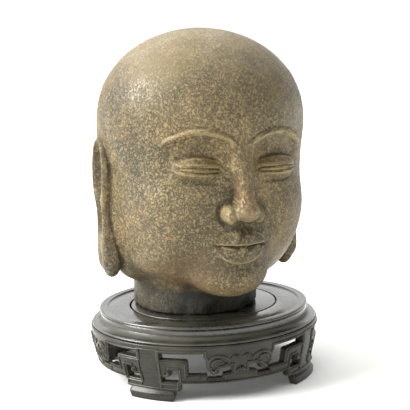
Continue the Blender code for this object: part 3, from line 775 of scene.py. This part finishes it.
def rounded(points, closed):
    """Points of a line whose corners are rounded as far as each corner says."""
    made = []
    count = len(points)
    for i, (x, z, radius) in enumerate(points):
        here = Vector((x, z))
        if radius <= 0.0 or (not closed and i in (0, count - 1)):
            made.append(here)
            continue
        before = Vector(points[i - 1][:2])
        after = Vector(points[(i + 1) % count][:2])
        to_before = before - here
        to_after = after - here
        reach = min(radius, 0.46 * to_before.length, 0.46 * to_after.length)
        start = here + to_before.normalized() * reach
        end = here + to_after.normalized() * reach
        for j in range(5):
            t = j / 4.0
            made.append(start * (1.0 - t) ** 2 + here * 2.0 * t * (1.0 - t) + end * t * t)
    return made


def moved_out(points, distance, closed):
    """A line of corners moved to its left by a distance, with mitred corners."""
    made = []
    count = len(points)
    for i, (x, z, radius) in enumerate(points):
        here = Vector((x, z))
        sides = []
        if closed or i > 0:
            sides.append((here - Vector(points[i - 1][:2])).normalized())
        if closed or i < count - 1:
            sides.append((Vector(points[(i + 1) % count][:2]) - here).normalized())
        lefts = [Vector((-s.y, s.x)) for s in sides]
        if len(lefts) == 1:
            shift = lefts[0] * distance
        else:
            both = lefts[0] + lefts[1]
            shift = both * (distance / max(0.35, 1.0 + lefts[0].dot(lefts[1])))
        made.append((x + shift.x, z + shift.y, radius))
    return made


def even_steps(points, step, closed):
    """The same line with points at even, short steps."""
    ends = list(points) + ([points[0]] if closed else [])
    made = []
    for a, b in zip(ends, ends[1:]):
        count = max(1, int(math.ceil((b - a).length / step)))
        made += [a.lerp(b, i / count) for i in range(count)]
    if not closed:
        made.append(ends[-1])
    return made


def swept_curve(corners, step):
    """A smooth open line through a few places."""
    places = [Vector(c) for c in corners]
    places = [places[0] * 2.0 - places[1]] + places + [places[-1] * 2.0 - places[-2]]
    made = []
    for a, b, c, d in zip(places, places[1:], places[2:], places[3:]):
        count = max(2, int(math.ceil((c - b).length / step)))
        for i in range(count):
            t = i / count
            made.append(0.5 * (2.0 * b + (c - a) * t + (2.0 * a - 5.0 * b + 4.0 * c - d) * t * t
                               + (3.0 * b - a - 3.0 * c + d) * t ** 3))
    made.append(places[-2])
    return made


def flat_sheet(outline, openings, settings):
    """The pierced wall laid flat, with eased edges. X runs along the wall, Y up and Z outwards."""
    curve = bpy.data.curves.new("wall_outline", "CURVE")
    curve.dimensions = "2D"
    curve.fill_mode = "BOTH"
    curve.bevel_depth = settings.edge_round
    curve.bevel_resolution = 2
    curve.offset = -settings.edge_round
    curve.extrude = WALL_THICKNESS / 2.0 - settings.edge_round
    for loop in [outline] + openings:
        spline = curve.splines.new("POLY")
        spline.points.add(len(loop) - 1)
        for point, place in zip(spline.points, loop):
            point.co = (place.x, place.y, 0.0, 1.0)
        spline.use_cyclic_u = True
    mesh = mesh_of(link_piece("wall_outline", curve))
    bpy.data.curves.remove(curve)
    bm = bmesh.new()
    bm.from_mesh(mesh)
    bpy.data.meshes.remove(mesh)
    bmesh.ops.remove_doubles(bm, verts=bm.verts, dist=0.000004)
    return bm


def carved_lines(lines, settings):
    """Half-round lines standing on the outer face of the flat wall."""
    curve = bpy.data.curves.new("carved_lines", "CURVE")
    curve.dimensions = "3D"
    curve.fill_mode = "FULL"
    curve.bevel_depth = settings.bead_width / 2.0
    curve.bevel_resolution = 2
    curve.use_fill_caps = True
    for places, closed, swell in lines:
        spline = curve.splines.new("POLY")
        spline.points.add(len(places) - 1)
        for i, (point, place) in enumerate(zip(spline.points, places)):
            point.co = (place.x, place.y, 0.0, 1.0)
            point.radius = swell(i / (len(places) - 1))
        spline.use_cyclic_u = closed
    mesh = mesh_of(link_piece("carved_lines", curve))
    bpy.data.curves.remove(curve)
    return mesh


def even_swell(share):
    """A line of one width, wherever along it."""
    return 1.0


def scroll_swell(share):
    """A line that starts thin, swells along its back and ends in a small ball."""
    return 0.75 + 1.05 * math.sin(min(share, 0.93) / 0.93 * math.pi) + (1.0 if share > 0.955 else 0.0)


def bends(x, z, *offsets):
    """Places where a line bends, given in millimetres from one place on the wall."""
    return [(x + along * MILLIMETRE, z + up * MILLIMETRE) for along, up in offsets]


def relief_lines(reach, settings):
    """Every carved line of half a leg unit: along the openings, the post, the rail, and the scrolls."""
    margin = settings.bead_margin
    holes = leg_outline(reach, reach, TOP_UNDERSIDE)[1]
    lines = []
    for hole in holes:
        ring = rounded(moved_out(hole, -margin, True), True)
        lines.append((even_steps(ring, LINE_STEP, True), True, even_swell))
    cloud = reach - CLOUD_REACH
    lobe_in = reach - CLOUD_LOBE_IN
    stem = reach - CLOUD_STEM
    low = RAIL_BOTTOM + margin * 0.75
    under_rail = [
        (reach, low, 0.0),
        (BLOCK_HALF_WIDTH - margin, low, 0.0012),
        (BLOCK_HALF_WIDTH - margin, BLOCK_BOTTOM + margin, 0.0012),
        (0.0, BLOCK_BOTTOM + margin, 0.0),
    ]
    side = POST_HALF_WIDTH - 0.0010
    post_top = TOP_RAIL_BOTTOM + 0.0030
    post = [(side, FOOT_HEIGHT + 0.0010, 0.0), (side, post_top, 0.0), (0.0, post_top, 0.0)]
    for line in (under_rail, post):
        lines.append((even_steps(rounded(line, False), LINE_STEP, False), False, even_swell))
    middle = (reach + lobe_in + 0.0026) / 2.0
    scroll = bends(cloud, CLOUD_BOTTOM, (2.2, 2.2), (1.8, 6.5), (4.8, 10.8), (10.0, 12.5), (16.5, 11.2),
                   (19.8, 7.8), (18.6, 4.8), (16.0, 5.0))
    inner_scroll = bends(cloud, CLOUD_BOTTOM, (5.6, 2.8), (5.2, 6.2), (8.4, 9.0), (12.4, 8.6), (14.2, 6.2))
    drop = [(lobe_in - 0.0034, CLOUD_BOTTOM + 0.0014)]
    drop += bends(lobe_in, CLOUD_LOBE_BOTTOM, (-4.0, 3.4), (-6.0, 2.6), (-6.6, 4.6))
    curl = [(POST_HALF_WIDTH + 0.0012, TAB_FLOOR + 0.0016)]
    curl += bends(TAB_REACH, TAB_FLOOR, (-4.0, 1.4), (-1.6, 3.0), (-2.2, 5.4), (-4.4, 5.6), (-4.8, 3.8))
    sprig = [(reach - 0.0012, CLOUD_BOTTOM + 0.0108)]
    sprig += bends(middle, CLOUD_BOTTOM, (3.0, 11.8), (-1.0, 10.2))
    bud = [(stem + 0.0030, RAIL_TOP + 0.0004), (reach - 0.0030, RAIL_TOP + 0.0024)]
    bud += bends(reach, CLOUD_BOTTOM, (-1.0, 1.0))
    steps = (SCROLL_STEP, SCROLL_STEP, FINE_STEP, FINE_STEP, SCROLL_STEP, SCROLL_STEP)
    for line, step in zip((scroll, inner_scroll, drop, curl, sprig, bud), steps):
        lines.append((swept_curve(line, step), False, scroll_swell))
    return lines


def cut_across(bm, at, normal, clear_outer=False):
    """Cut the sheet along a plane, and give what lies on the cut."""
    geometry = list(bm.verts) + list(bm.edges) + list(bm.faces)
    cut = bmesh.ops.bisect_plane(
        bm, geom=geometry, dist=1e-7, plane_co=at, plane_no=normal, clear_outer=clear_outer)
    return cut["geom_cut"]


def trim_end(bm, at):
    """Cut the flat wall off square where it meets the next leg, and close the cut."""
    cut = cut_across(bm, (at, 0.0, 0.0), (math.copysign(1.0, at), 0.0, 0.0), True)
    rims = [part for part in cut if isinstance(part, bmesh.types.BMEdge)]
    bmesh.ops.edgeloop_fill(bm, edges=rims)


def flat_leg(settings):
    """A leg unit laid flat, cut into strips that can bend, with its carved lines."""
    reach = BEND_RADIUS * math.pi / 4.0 - JOINT_GAP / 2.0
    top = TOP_UNDERSIDE - TOUCH_GAP
    edge, holes = leg_outline(reach, reach + 2.0 * settings.edge_round, top)
    outline = rounded(mirrored(edge) + edge, True)
    openings = [rounded(hole, True) for hole in holes + [mirrored(hole) for hole in holes]]
    bm = flat_sheet(outline, openings, settings)
    trim_end(bm, reach)
    trim_end(bm, -reach)
    for i in range(1, WALL_STRIPS):
        cut_across(bm, (-reach + 2.0 * reach * i / WALL_STRIPS, 0.0, 0.0), (1.0, 0.0, 0.0))
    for i in range(1, WALL_COURSES):
        cut_across(bm, (0.0, top * i / WALL_COURSES, 0.0), (0.0, 1.0, 0.0))
    bmesh.ops.triangulate(bm, faces=bm.faces, quad_method="SHORT_EDGE", ngon_method="BEAUTY")
    bmesh.ops.recalc_face_normals(bm, faces=bm.faces)
    # How far each point is rubbed lighter: the eased edges a little, the carved lines fully; partly wear,
    # partly a painted highlight on the raised work.
    worn = bm.verts.layers.float.new("worn")
    face_z = WALL_THICKNESS / 2.0
    for v in bm.verts:
        v[worn] = EDGE_WEAR_AND_SHEEN if abs(abs(v.co.z) - face_z) > 0.00002 else 0.0
    lines = relief_lines(reach, settings)
    lines += [([Vector((-p.x, p.y)) for p in reversed(places)], closed, lambda s, f=swell: f(1.0 - s))
              for places, closed, swell in lines]
    mesh = carved_lines(lines, settings)
    added = bmesh.new()
    added.from_mesh(mesh)
    bpy.data.meshes.remove(mesh)
    # The carved lines take the full rubbed colour: partly wear, partly a painted highlight.
    worn = added.verts.layers.float.new("worn")
    flatness = settings.bead_height / (settings.bead_width / 2.0)
    for v in added.verts:
        v[worn] = 1.0
        v.co.z = v.co.z * flatness + face_z - BEAD_SINK
    bmesh.ops.recalc_face_normals(added, faces=added.faces)
    both = bpy.data.meshes.new("carved_lines")
    added.to_mesh(both)
    added.free()
    bm.from_mesh(both)
    bpy.data.meshes.remove(both)
    return bm


def bend_leg(flat, middle_deg):
    """A copy of the flat leg wrapped round the stand, keeping its flat place as a texture map."""
    bm = flat.copy()
    along = bm.loops.layers.uv.new("along_the_wall")
    for face in bm.faces:
        for loop in face.loops:
            loop[along].uv = (loop.vert.co.x * MAP_SCALE + 0.5, loop.vert.co.y * MAP_SCALE)
    for v in bm.verts:
        angle = math.radians(middle_deg) + v.co.x / BEND_RADIUS
        radius = wall_radius(v.co.y) - WALL_THICKNESS / 2.0 + v.co.z
        v.co = (AXIS.x + radius * math.sin(angle), AXIS.y - radius * math.cos(angle), v.co.y)
    return bm


def carve_legs(settings, material):
    flat = flat_leg(settings)
    for i, side in enumerate(LEG_SIDES):
        bm = bend_leg(flat, STAND_TURN_DEG + 45.0 + 90.0 * i)
        piece = piece_from(bm, "carved_leg_" + side)
        finish_piece(piece, material, ("stand_leg_" + side,), 40.0)
    flat.free()


# Materials.

class NodeBench:
    """The nodes of a material or a sky under construction, with one short call for each node."""

    def __init__(self, block, shader="Principled BSDF"):
        self.block = block
        self.block.use_nodes = True
        self.tree = self.block.node_tree
        self.shader = self.tree.nodes[shader]

    def give(self, socket, value):
        self.feed(self.shader.inputs[socket], value)

    def add(self, kind, values=None, **settings):
        node = self.tree.nodes.new(kind)
        for key, value in settings.items():
            setattr(node, key, value)
        for key, value in (values or {}).items():
            self.feed(node.inputs[key], value)
        return node

    def feed(self, socket, value):
        if isinstance(value, bpy.types.NodeSocket):
            self.tree.links.new(value, socket)
        else:
            socket.default_value = value

    def noise(self, place, scale, detail, roughness=0.55, distortion=0.0):
        values = {"Vector": place, "Scale": scale, "Detail": detail, "Roughness": roughness,
                  "Distortion": distortion}
        return self.add("ShaderNodeTexNoise", values).outputs["Fac"]

    def cells(self, place, scale):
        return self.add("ShaderNodeTexVoronoi", {"Vector": place, "Scale": scale}).outputs["Distance"]

    def span(self, value, low, high, to_low=0.0, to_high=1.0):
        values = {"Value": value, "From Min": low, "From Max": high, "To Min": to_low, "To Max": to_high}
        return self.add("ShaderNodeMapRange", values, interpolation_type="SMOOTHSTEP").outputs["Result"]

    def math(self, operation, a, b=0.0, clamp=False):
        node = self.add("ShaderNodeMath", {0: a, 1: b}, operation=operation, use_clamp=clamp)
        return node.outputs["Value"]

    def times(self, a, b):
        return self.math("MULTIPLY", a, b)

    def plus(self, a, b, clamp=False):
        return self.math("ADD", a, b, clamp)

    def tint(self, share, colour):
        """Lay a share of a colour over the colour so far."""
        self.colour = self.mix(share, self.colour, colour)

    def mix(self, share, a, b):
        node = self.add("ShaderNodeMix", {"Factor": share}, data_type="RGBA")
        self.feed(node.inputs[6], a)
        self.feed(node.inputs[7], b)
        return node.outputs[2]

    def bump(self, height, distance, strength, normal=None):
        values = {"Height": height, "Distance": distance, "Strength": strength}
        if normal is not None:
            values["Normal"] = normal
        return self.add("ShaderNodeBump", values).outputs["Normal"]

    def stretched(self, place, scale):
        return self.add("ShaderNodeMapping", {"Vector": place, "Scale": scale}).outputs["Vector"]

    def mark(self, name):
        return self.add("ShaderNodeAttribute", attribute_name=name).outputs["Fac"]


def stone_material(settings):
    """Weathered stone: patches of tan and olive, mottled grain, stains, pits, a dark neck; painted shade in
    the hollows, a painted sheen on the polished patch and painted light on the crown.
    """
    bench = NodeBench(bpy.data.materials.new("weathered_stone"))
    place = bench.add("ShaderNodeTexCoord").outputs["Object"]
    hollow, worn, patina, polish_and_sheen, stained, painted_crown_light = [bench.mark(name) for name in HEAD_MARKS]
    grain_scale = 1.0 / settings.grain

    patches = bench.noise(place, 13.0, 8.0, 0.68, 0.5)
    bench.colour = settings.tan
    bench.tint(bench.span(patches, 0.44, 0.56), settings.olive)
    clouds = bench.noise(place, 42.0, 4.0, 0.6)
    bench.tint(bench.span(clouds, 0.52, 0.74, 0.0, 0.30), settings.pale)
    rust = bench.noise(place, 23.0, 7.0, 0.70, 0.8)
    bench.tint(bench.span(rust, 0.53, 0.68, 0.0, 0.60), settings.stain)
    soot = bench.noise(bench.stretched(place, (1.0, 1.0, 0.7)), 17.0, 8.0, 0.74, 0.3)
    bench.tint(bench.span(soot, 0.50, 0.62, 0.0, 0.66), settings.patina)

    coarse = bench.noise(place, grain_scale * 0.62, 3.0, 0.6, 0.5)
    fine = bench.noise(place, grain_scale * 0.95, 3.0, 0.65)
    pitted = bench.math("SUBTRACT", 1.0, bench.times(polish_and_sheen, 0.65))
    etched = bench.math("ABSOLUTE", bench.math("SUBTRACT", coarse, 0.5))
    grooves = bench.times(bench.span(etched, 0.058, 0.012), pitted)
    dusk = bench.mix(0.45, settings.pit_brown, settings.patina)
    light_grain = bench.times(bench.span(etched, 0.045, 0.12, 0.0, 0.42), pitted)
    bench.tint(light_grain, settings.pale)
    dark_grain = bench.times(bench.span(fine, 0.46, 0.34, 0.0, 0.60), pitted)
    bench.tint(dark_grain, dusk)
    bench.tint(bench.times(grooves, 0.55), dusk)
    # The polished patch is tinted paler: a painted sheen over its real polish.
    bench.tint(bench.times(polish_and_sheen, 0.15), settings.pale)
    # Paler towards the crown: painted light from above.
    bench.tint(bench.times(painted_crown_light, 0.34), settings.pale)

    run = bench.times(stained, bench.span(rust, 0.30, 0.60, 0.35, 0.95))
    run_colour = bench.mix(bench.span(fine, 0.40, 0.64, 0.10, 0.50), settings.pit_brown, settings.stain)
    bench.tint(run, run_colour)
    # Hollows darkened towards the patina colour: painted shade in the recesses, partly dirt.
    dirt_and_shade = bench.times(bench.span(hollow, 0.12, 0.62), bench.span(clouds, 0.25, 0.60, 0.55, 1.0))
    bench.tint(bench.times(dirt_and_shade, 0.42), settings.patina)
    rubbed = bench.times(bench.span(worn, 0.06, 0.34), bench.span(fine, 0.35, 0.60, 0.30, 0.7))
    bench.tint(rubbed, settings.pale)
    skin = bench.times(patina, bench.span(fine, 0.70, 0.42, 0.90, 1.0))
    bench.tint(skin, settings.patina)
    bench.give("Base Color", bench.colour)

    sheen = bench.span(bench.noise(place, 20.0, 2.0), 0.44, 0.62, 0.06, -0.10)
    rough = bench.plus(bench.times(fine, 0.30), bench.times(polish_and_sheen, -0.08))
    rough = bench.plus(rough, sheen)
    rough = bench.plus(rough, settings.roughness - 0.15)
    rough = bench.plus(rough, bench.times(hollow, 0.25), clamp=True)
    bench.give("Roughness", rough)

    pits = bench.span(bench.cells(place, grain_scale * 0.34), 0.20, 0.04, 0.0, -1.0)
    sparse = bench.span(bench.noise(place, 60.0, 2.0), 0.46, 0.62)
    pits = bench.times(pits, sparse)
    height = bench.math("SUBTRACT", bench.times(fine, 0.6), bench.times(grooves, 0.8))
    height = bench.plus(height, bench.times(pits, 0.7))
    normal = bench.bump(clouds, 0.0012, 0.30)
    normal = bench.bump(height, 0.0009, 0.75, normal)
    bench.give("Normal", normal)
    return bench.block


def wood_material(name, settings, by_map):
    """Dark polished hardwood: long grain, pores, raised work rubbed lighter (partly wear, partly a painted
    highlight), and dust in the cove of the top.
    """
    bench = NodeBench(bpy.data.materials.new(name))
    if by_map:
        place = bench.add("ShaderNodeUVMap", uv_map="along_the_wall").outputs["UV"]
        long_grain = bench.stretched(place, (9.0, 130.0, 1.0))
        pores_place = bench.stretched(place, (28.0, 420.0, 1.0))
    else:
        place = bench.add("ShaderNodeTexCoord").outputs["Object"]
        long_grain = bench.stretched(place, (34.0, 520.0, 120.0))
        pores_place = bench.stretched(place, (110.0, 1700.0, 1100.0))
    round_place = bench.add("ShaderNodeTexCoord").outputs["Object"]
    streaks = bench.noise(long_grain, 1.0, 4.0, 0.62, 0.5)
    pores = bench.noise(pores_place, 1.0, 2.0, 0.5)
    clouds = bench.noise(round_place, 26.0, 4.0, 0.6)
    film = bench.noise(round_place, 300.0, 3.0, 0.6)

    bench.colour = settings.wood
    bench.tint(bench.span(streaks, 0.40, 0.66), settings.wood_dark)
    bench.tint(bench.span(clouds, 0.46, 0.70, 0.0, 0.50), settings.rubbed)
    # Edges and carved lines rubbed lighter: partly wear, partly a painted highlight on the raised work.
    if by_map:
        worn = bench.times(bench.mark("worn"), bench.span(clouds, 0.30, 0.60, 0.08, 0.50))
        bench.tint(worn, settings.rubbed)

    filmed = bench.span(film, 0.40, 0.70, -0.02, 0.08)
    rough = bench.plus(bench.span(clouds, 0.35, 0.70, -0.05, 0.08), filmed)
    if by_map:
        bench.give("Coat Weight", 0.15)
        bench.give("Specular IOR Level", 0.28)
    else:
        cove_top = STAND_HEIGHT - RIM_BEAD_HEIGHT - BAND_HEIGHT
        cove_floor = TOP_UNDERSIDE + RING_BEAD_HEIGHT
        height = bench.add("ShaderNodeSeparateXYZ", {"Vector": round_place}).outputs["Z"]
        dust = bench.span(height, cove_top, cove_top - 0.0014)
        dust = bench.times(dust, bench.span(height, cove_floor, cove_floor + 0.0020))
        dust = bench.times(dust, bench.span(clouds, 0.30, 0.62, 0.55, 1.0))
        bench.tint(bench.times(dust, 0.80), settings.dust)
        rough = bench.plus(rough, bench.times(dust, 0.26))
        bench.give("Coat Weight", bench.span(dust, 0.0, 1.0, 0.85, 0.06))
    bench.give("Base Color", bench.colour)
    rough = bench.plus(rough, settings.roughness, clamp=True)
    bench.give("Roughness", rough)
    bench.give("Coat Roughness", 0.18)
    normal = bench.bump(streaks, 0.0003, 0.16)
    normal = bench.bump(pores, 0.0002, 0.10 if by_map else 0.03, normal)
    bench.give("Normal", normal)
    return bench.block


def floor_material(settings):
    """Plain pale paper with a faint mottle."""
    bench = NodeBench(bpy.data.materials.new("pale_floor"))
    place = bench.add("ShaderNodeTexCoord").outputs["Object"]
    mottle = bench.noise(place, 3.0, 2.0)
    shade = bench.mix(0.5, settings.floor, (0.88, 0.885, 0.875, 1.0))
    bench.give("Base Color", bench.mix(mottle, settings.floor, shade))
    bench.give("Roughness", 0.9)
    bench.give("Emission Color", settings.floor)
    bench.give("Emission Strength", settings.table_glow)
    return bench.block


# The stage.

def place_camera(settings):
    """Put the camera at the photograph's place, tilt and roll."""
    turn = settings.turn
    ahead = Vector((-math.sin(turn), math.cos(turn), 0.0))
    right = Vector((math.cos(turn), math.sin(turn), 0.0))
    view = ahead * math.cos(settings.pitch) - Vector((0.0, 0.0, math.sin(settings.pitch)))
    up = right.cross(view)
    across = right * math.cos(settings.roll) - up * math.sin(settings.roll)
    upward = right * math.sin(settings.roll) + up * math.cos(settings.roll)
    data = bpy.data.cameras.new("photo_camera")
    data.sensor_fit = "HORIZONTAL"
    data.sensor_width = SENSOR_WIDTH
    data.lens = settings.focal_share * SENSOR_WIDTH
    data.shift_x = SHIFT_ACROSS
    data.shift_y = SHIFT_UP
    camera = bpy.data.objects.new("photo_camera", data)
    bpy.context.scene.collection.objects.link(camera)
    turned = Matrix((across, upward, -view)).transposed().to_4x4()
    place = AXIS - ahead * settings.distance + Vector((0.0, 0.0, settings.height))
    camera.matrix_world = Matrix.Translation(place) @ turned
    bpy.context.scene.camera = camera
    return right, ahead


def add_lamp(name, toward, strength, spread_deg, colour):
    """A far, soft lamp that shines from one direction on the whole stage alike."""
    data = bpy.data.lights.new(name, "SUN")
    data.energy = strength
    data.angle = math.radians(spread_deg)
    data.color = colour
    lamp = bpy.data.objects.new(name, data)
    lamp.location = toward.normalized() * LAMP_DISTANCE
    lamp.rotation_euler = (-toward).to_track_quat("-Z", "Y").to_euler()
    bpy.context.scene.collection.objects.link(lamp)


def add_floor(settings):
    bm = bmesh.new()
    bmesh.ops.create_grid(bm, x_segments=4, y_segments=4, size=FLOOR_HALF_WIDTH)
    floor = piece_from(bm, "studio_floor")
    floor.data.materials.append(floor_material(settings))


def light_all_round(settings, right, ahead):
    """White light from behind, from the left and low all round, with a dim room at the front and right."""
    bench = NodeBench(bpy.data.worlds.new("studio_sky"), "Background")
    bench.give("Color", (1.0, 1.0, 0.985, 1.0))
    place = bench.add("ShaderNodeTexCoord").outputs["Generated"]
    bright_way = (ahead - right * 0.5).normalized()
    facing = bench.add("ShaderNodeVectorMath", {0: place, 1: bright_way}, operation="DOT_PRODUCT")
    sides = bench.span(facing.outputs["Value"], -0.15, 0.70, settings.room, settings.wall)
    level = bench.add("ShaderNodeSeparateXYZ", {"Vector": place}).outputs["Z"]
    low = bench.span(level, 0.15, 0.28, settings.wall, 0.0)
    bench.give("Strength", bench.math("MAXIMUM", sides, low))
    bpy.context.scene.world = bench.block


class STONEHEAD_OT_carve_head(bpy.types.Operator):
    """Carve the stone head with its ears and weather it"""
    bl_idname = "stonehead.carve_head"
    bl_label = "Carve the Head"

    def execute(self, context):
        carve_head(context.scene.stone_head)
        return {"FINISHED"}


class STONEHEAD_OT_turn_top(bpy.types.Operator):
    """Turn the moulded top of the stand and the panel let into it"""
    bl_idname = "stonehead.turn_top"
    bl_label = "Turn the Stand's Top"

    def execute(self, context):
        material = wood_material("turned_hardwood", context.scene.turned_stand, False)
        turn_piece("turned_top", top_profile(), "stand_top", material)
        turn_piece("turned_panel", panel_profile(), "stand_panel", material)
        return {"FINISHED"}


class STONEHEAD_OT_carve_legs(bpy.types.Operator):
    """Carve the four legs with their pierced aprons"""
    bl_idname = "stonehead.carve_legs"
    bl_label = "Carve the Legs"

    def execute(self, context):
        settings = context.scene.turned_stand
        carve_legs(settings, wood_material("carved_hardwood", settings, True))
        return {"FINISHED"}


class STONEHEAD_OT_set_stage(bpy.types.Operator):
    """Lay the floor and place the camera and the soft lamps"""
    bl_idname = "stonehead.set_stage"
    bl_label = "Set the Stage"

    def execute(self, context):
        settings = context.scene.studio_stage
        add_floor(settings)
        right, ahead = place_camera(settings)
        light_all_round(settings, right, ahead)
        key = Vector((0.0, 0.0, 0.52)) - right * 0.88 - ahead * 0.16
        add_lamp("key_lamp", key, settings.key_strength, KEY_SPREAD_DEG, (1.0, 0.985, 0.955))
        top = Vector((0.0, 0.0, 1.0)) - right * 0.25 + ahead * 0.15
        add_lamp("top_lamp", top, settings.top_strength, TOP_SPREAD_DEG, (1.0, 1.0, 0.99))
        context.scene.view_settings.view_transform = "Standard"
        return {"FINISHED"}


class STONEHEAD_PT_panel(bpy.types.Panel):
    """Steps that build the head, its stand and the stage"""
    bl_idname = "STONEHEAD_PT_panel"
    bl_label = "Stone Head"
    bl_space_type = "VIEW_3D"
    bl_region_type = "UI"
    bl_category = "Stone Head"

    def draw(self, context):
        layout = self.layout
        for group in (context.scene.stone_head, context.scene.turned_stand, context.scene.studio_stage):
            box = layout.box()
            for name in group.__annotations__:
                box.prop(group, name)
        for step in STEPS:
            layout.operator(step.bl_idname)


GROUPS = {
    "stone_head": StoneHeadSettings,
    "turned_stand": TurnedStandSettings,
    "studio_stage": StudioStageSettings,
}
STEPS = (STONEHEAD_OT_carve_head, STONEHEAD_OT_turn_top, STONEHEAD_OT_carve_legs, STONEHEAD_OT_set_stage)


def register():
    for name, group in GROUPS.items():
        bpy.utils.register_class(group)
        setattr(bpy.types.Scene, name, PointerProperty(type=group))
    for step in STEPS:
        bpy.utils.register_class(step)
    bpy.utils.register_class(STONEHEAD_PT_panel)


def unregister():
    bpy.utils.unregister_class(STONEHEAD_PT_panel)
    for step in reversed(STEPS):
        bpy.utils.unregister_class(step)
    for name, group in GROUPS.items():
        delattr(bpy.types.Scene, name)
        bpy.utils.unregister_class(group)


def main():
    register()
    bpy.ops.stonehead.turn_top()
    bpy.ops.stonehead.carve_legs()
    bpy.ops.stonehead.carve_head()
    bpy.ops.stonehead.set_stage()


if __name__ == "__main__":
    main()
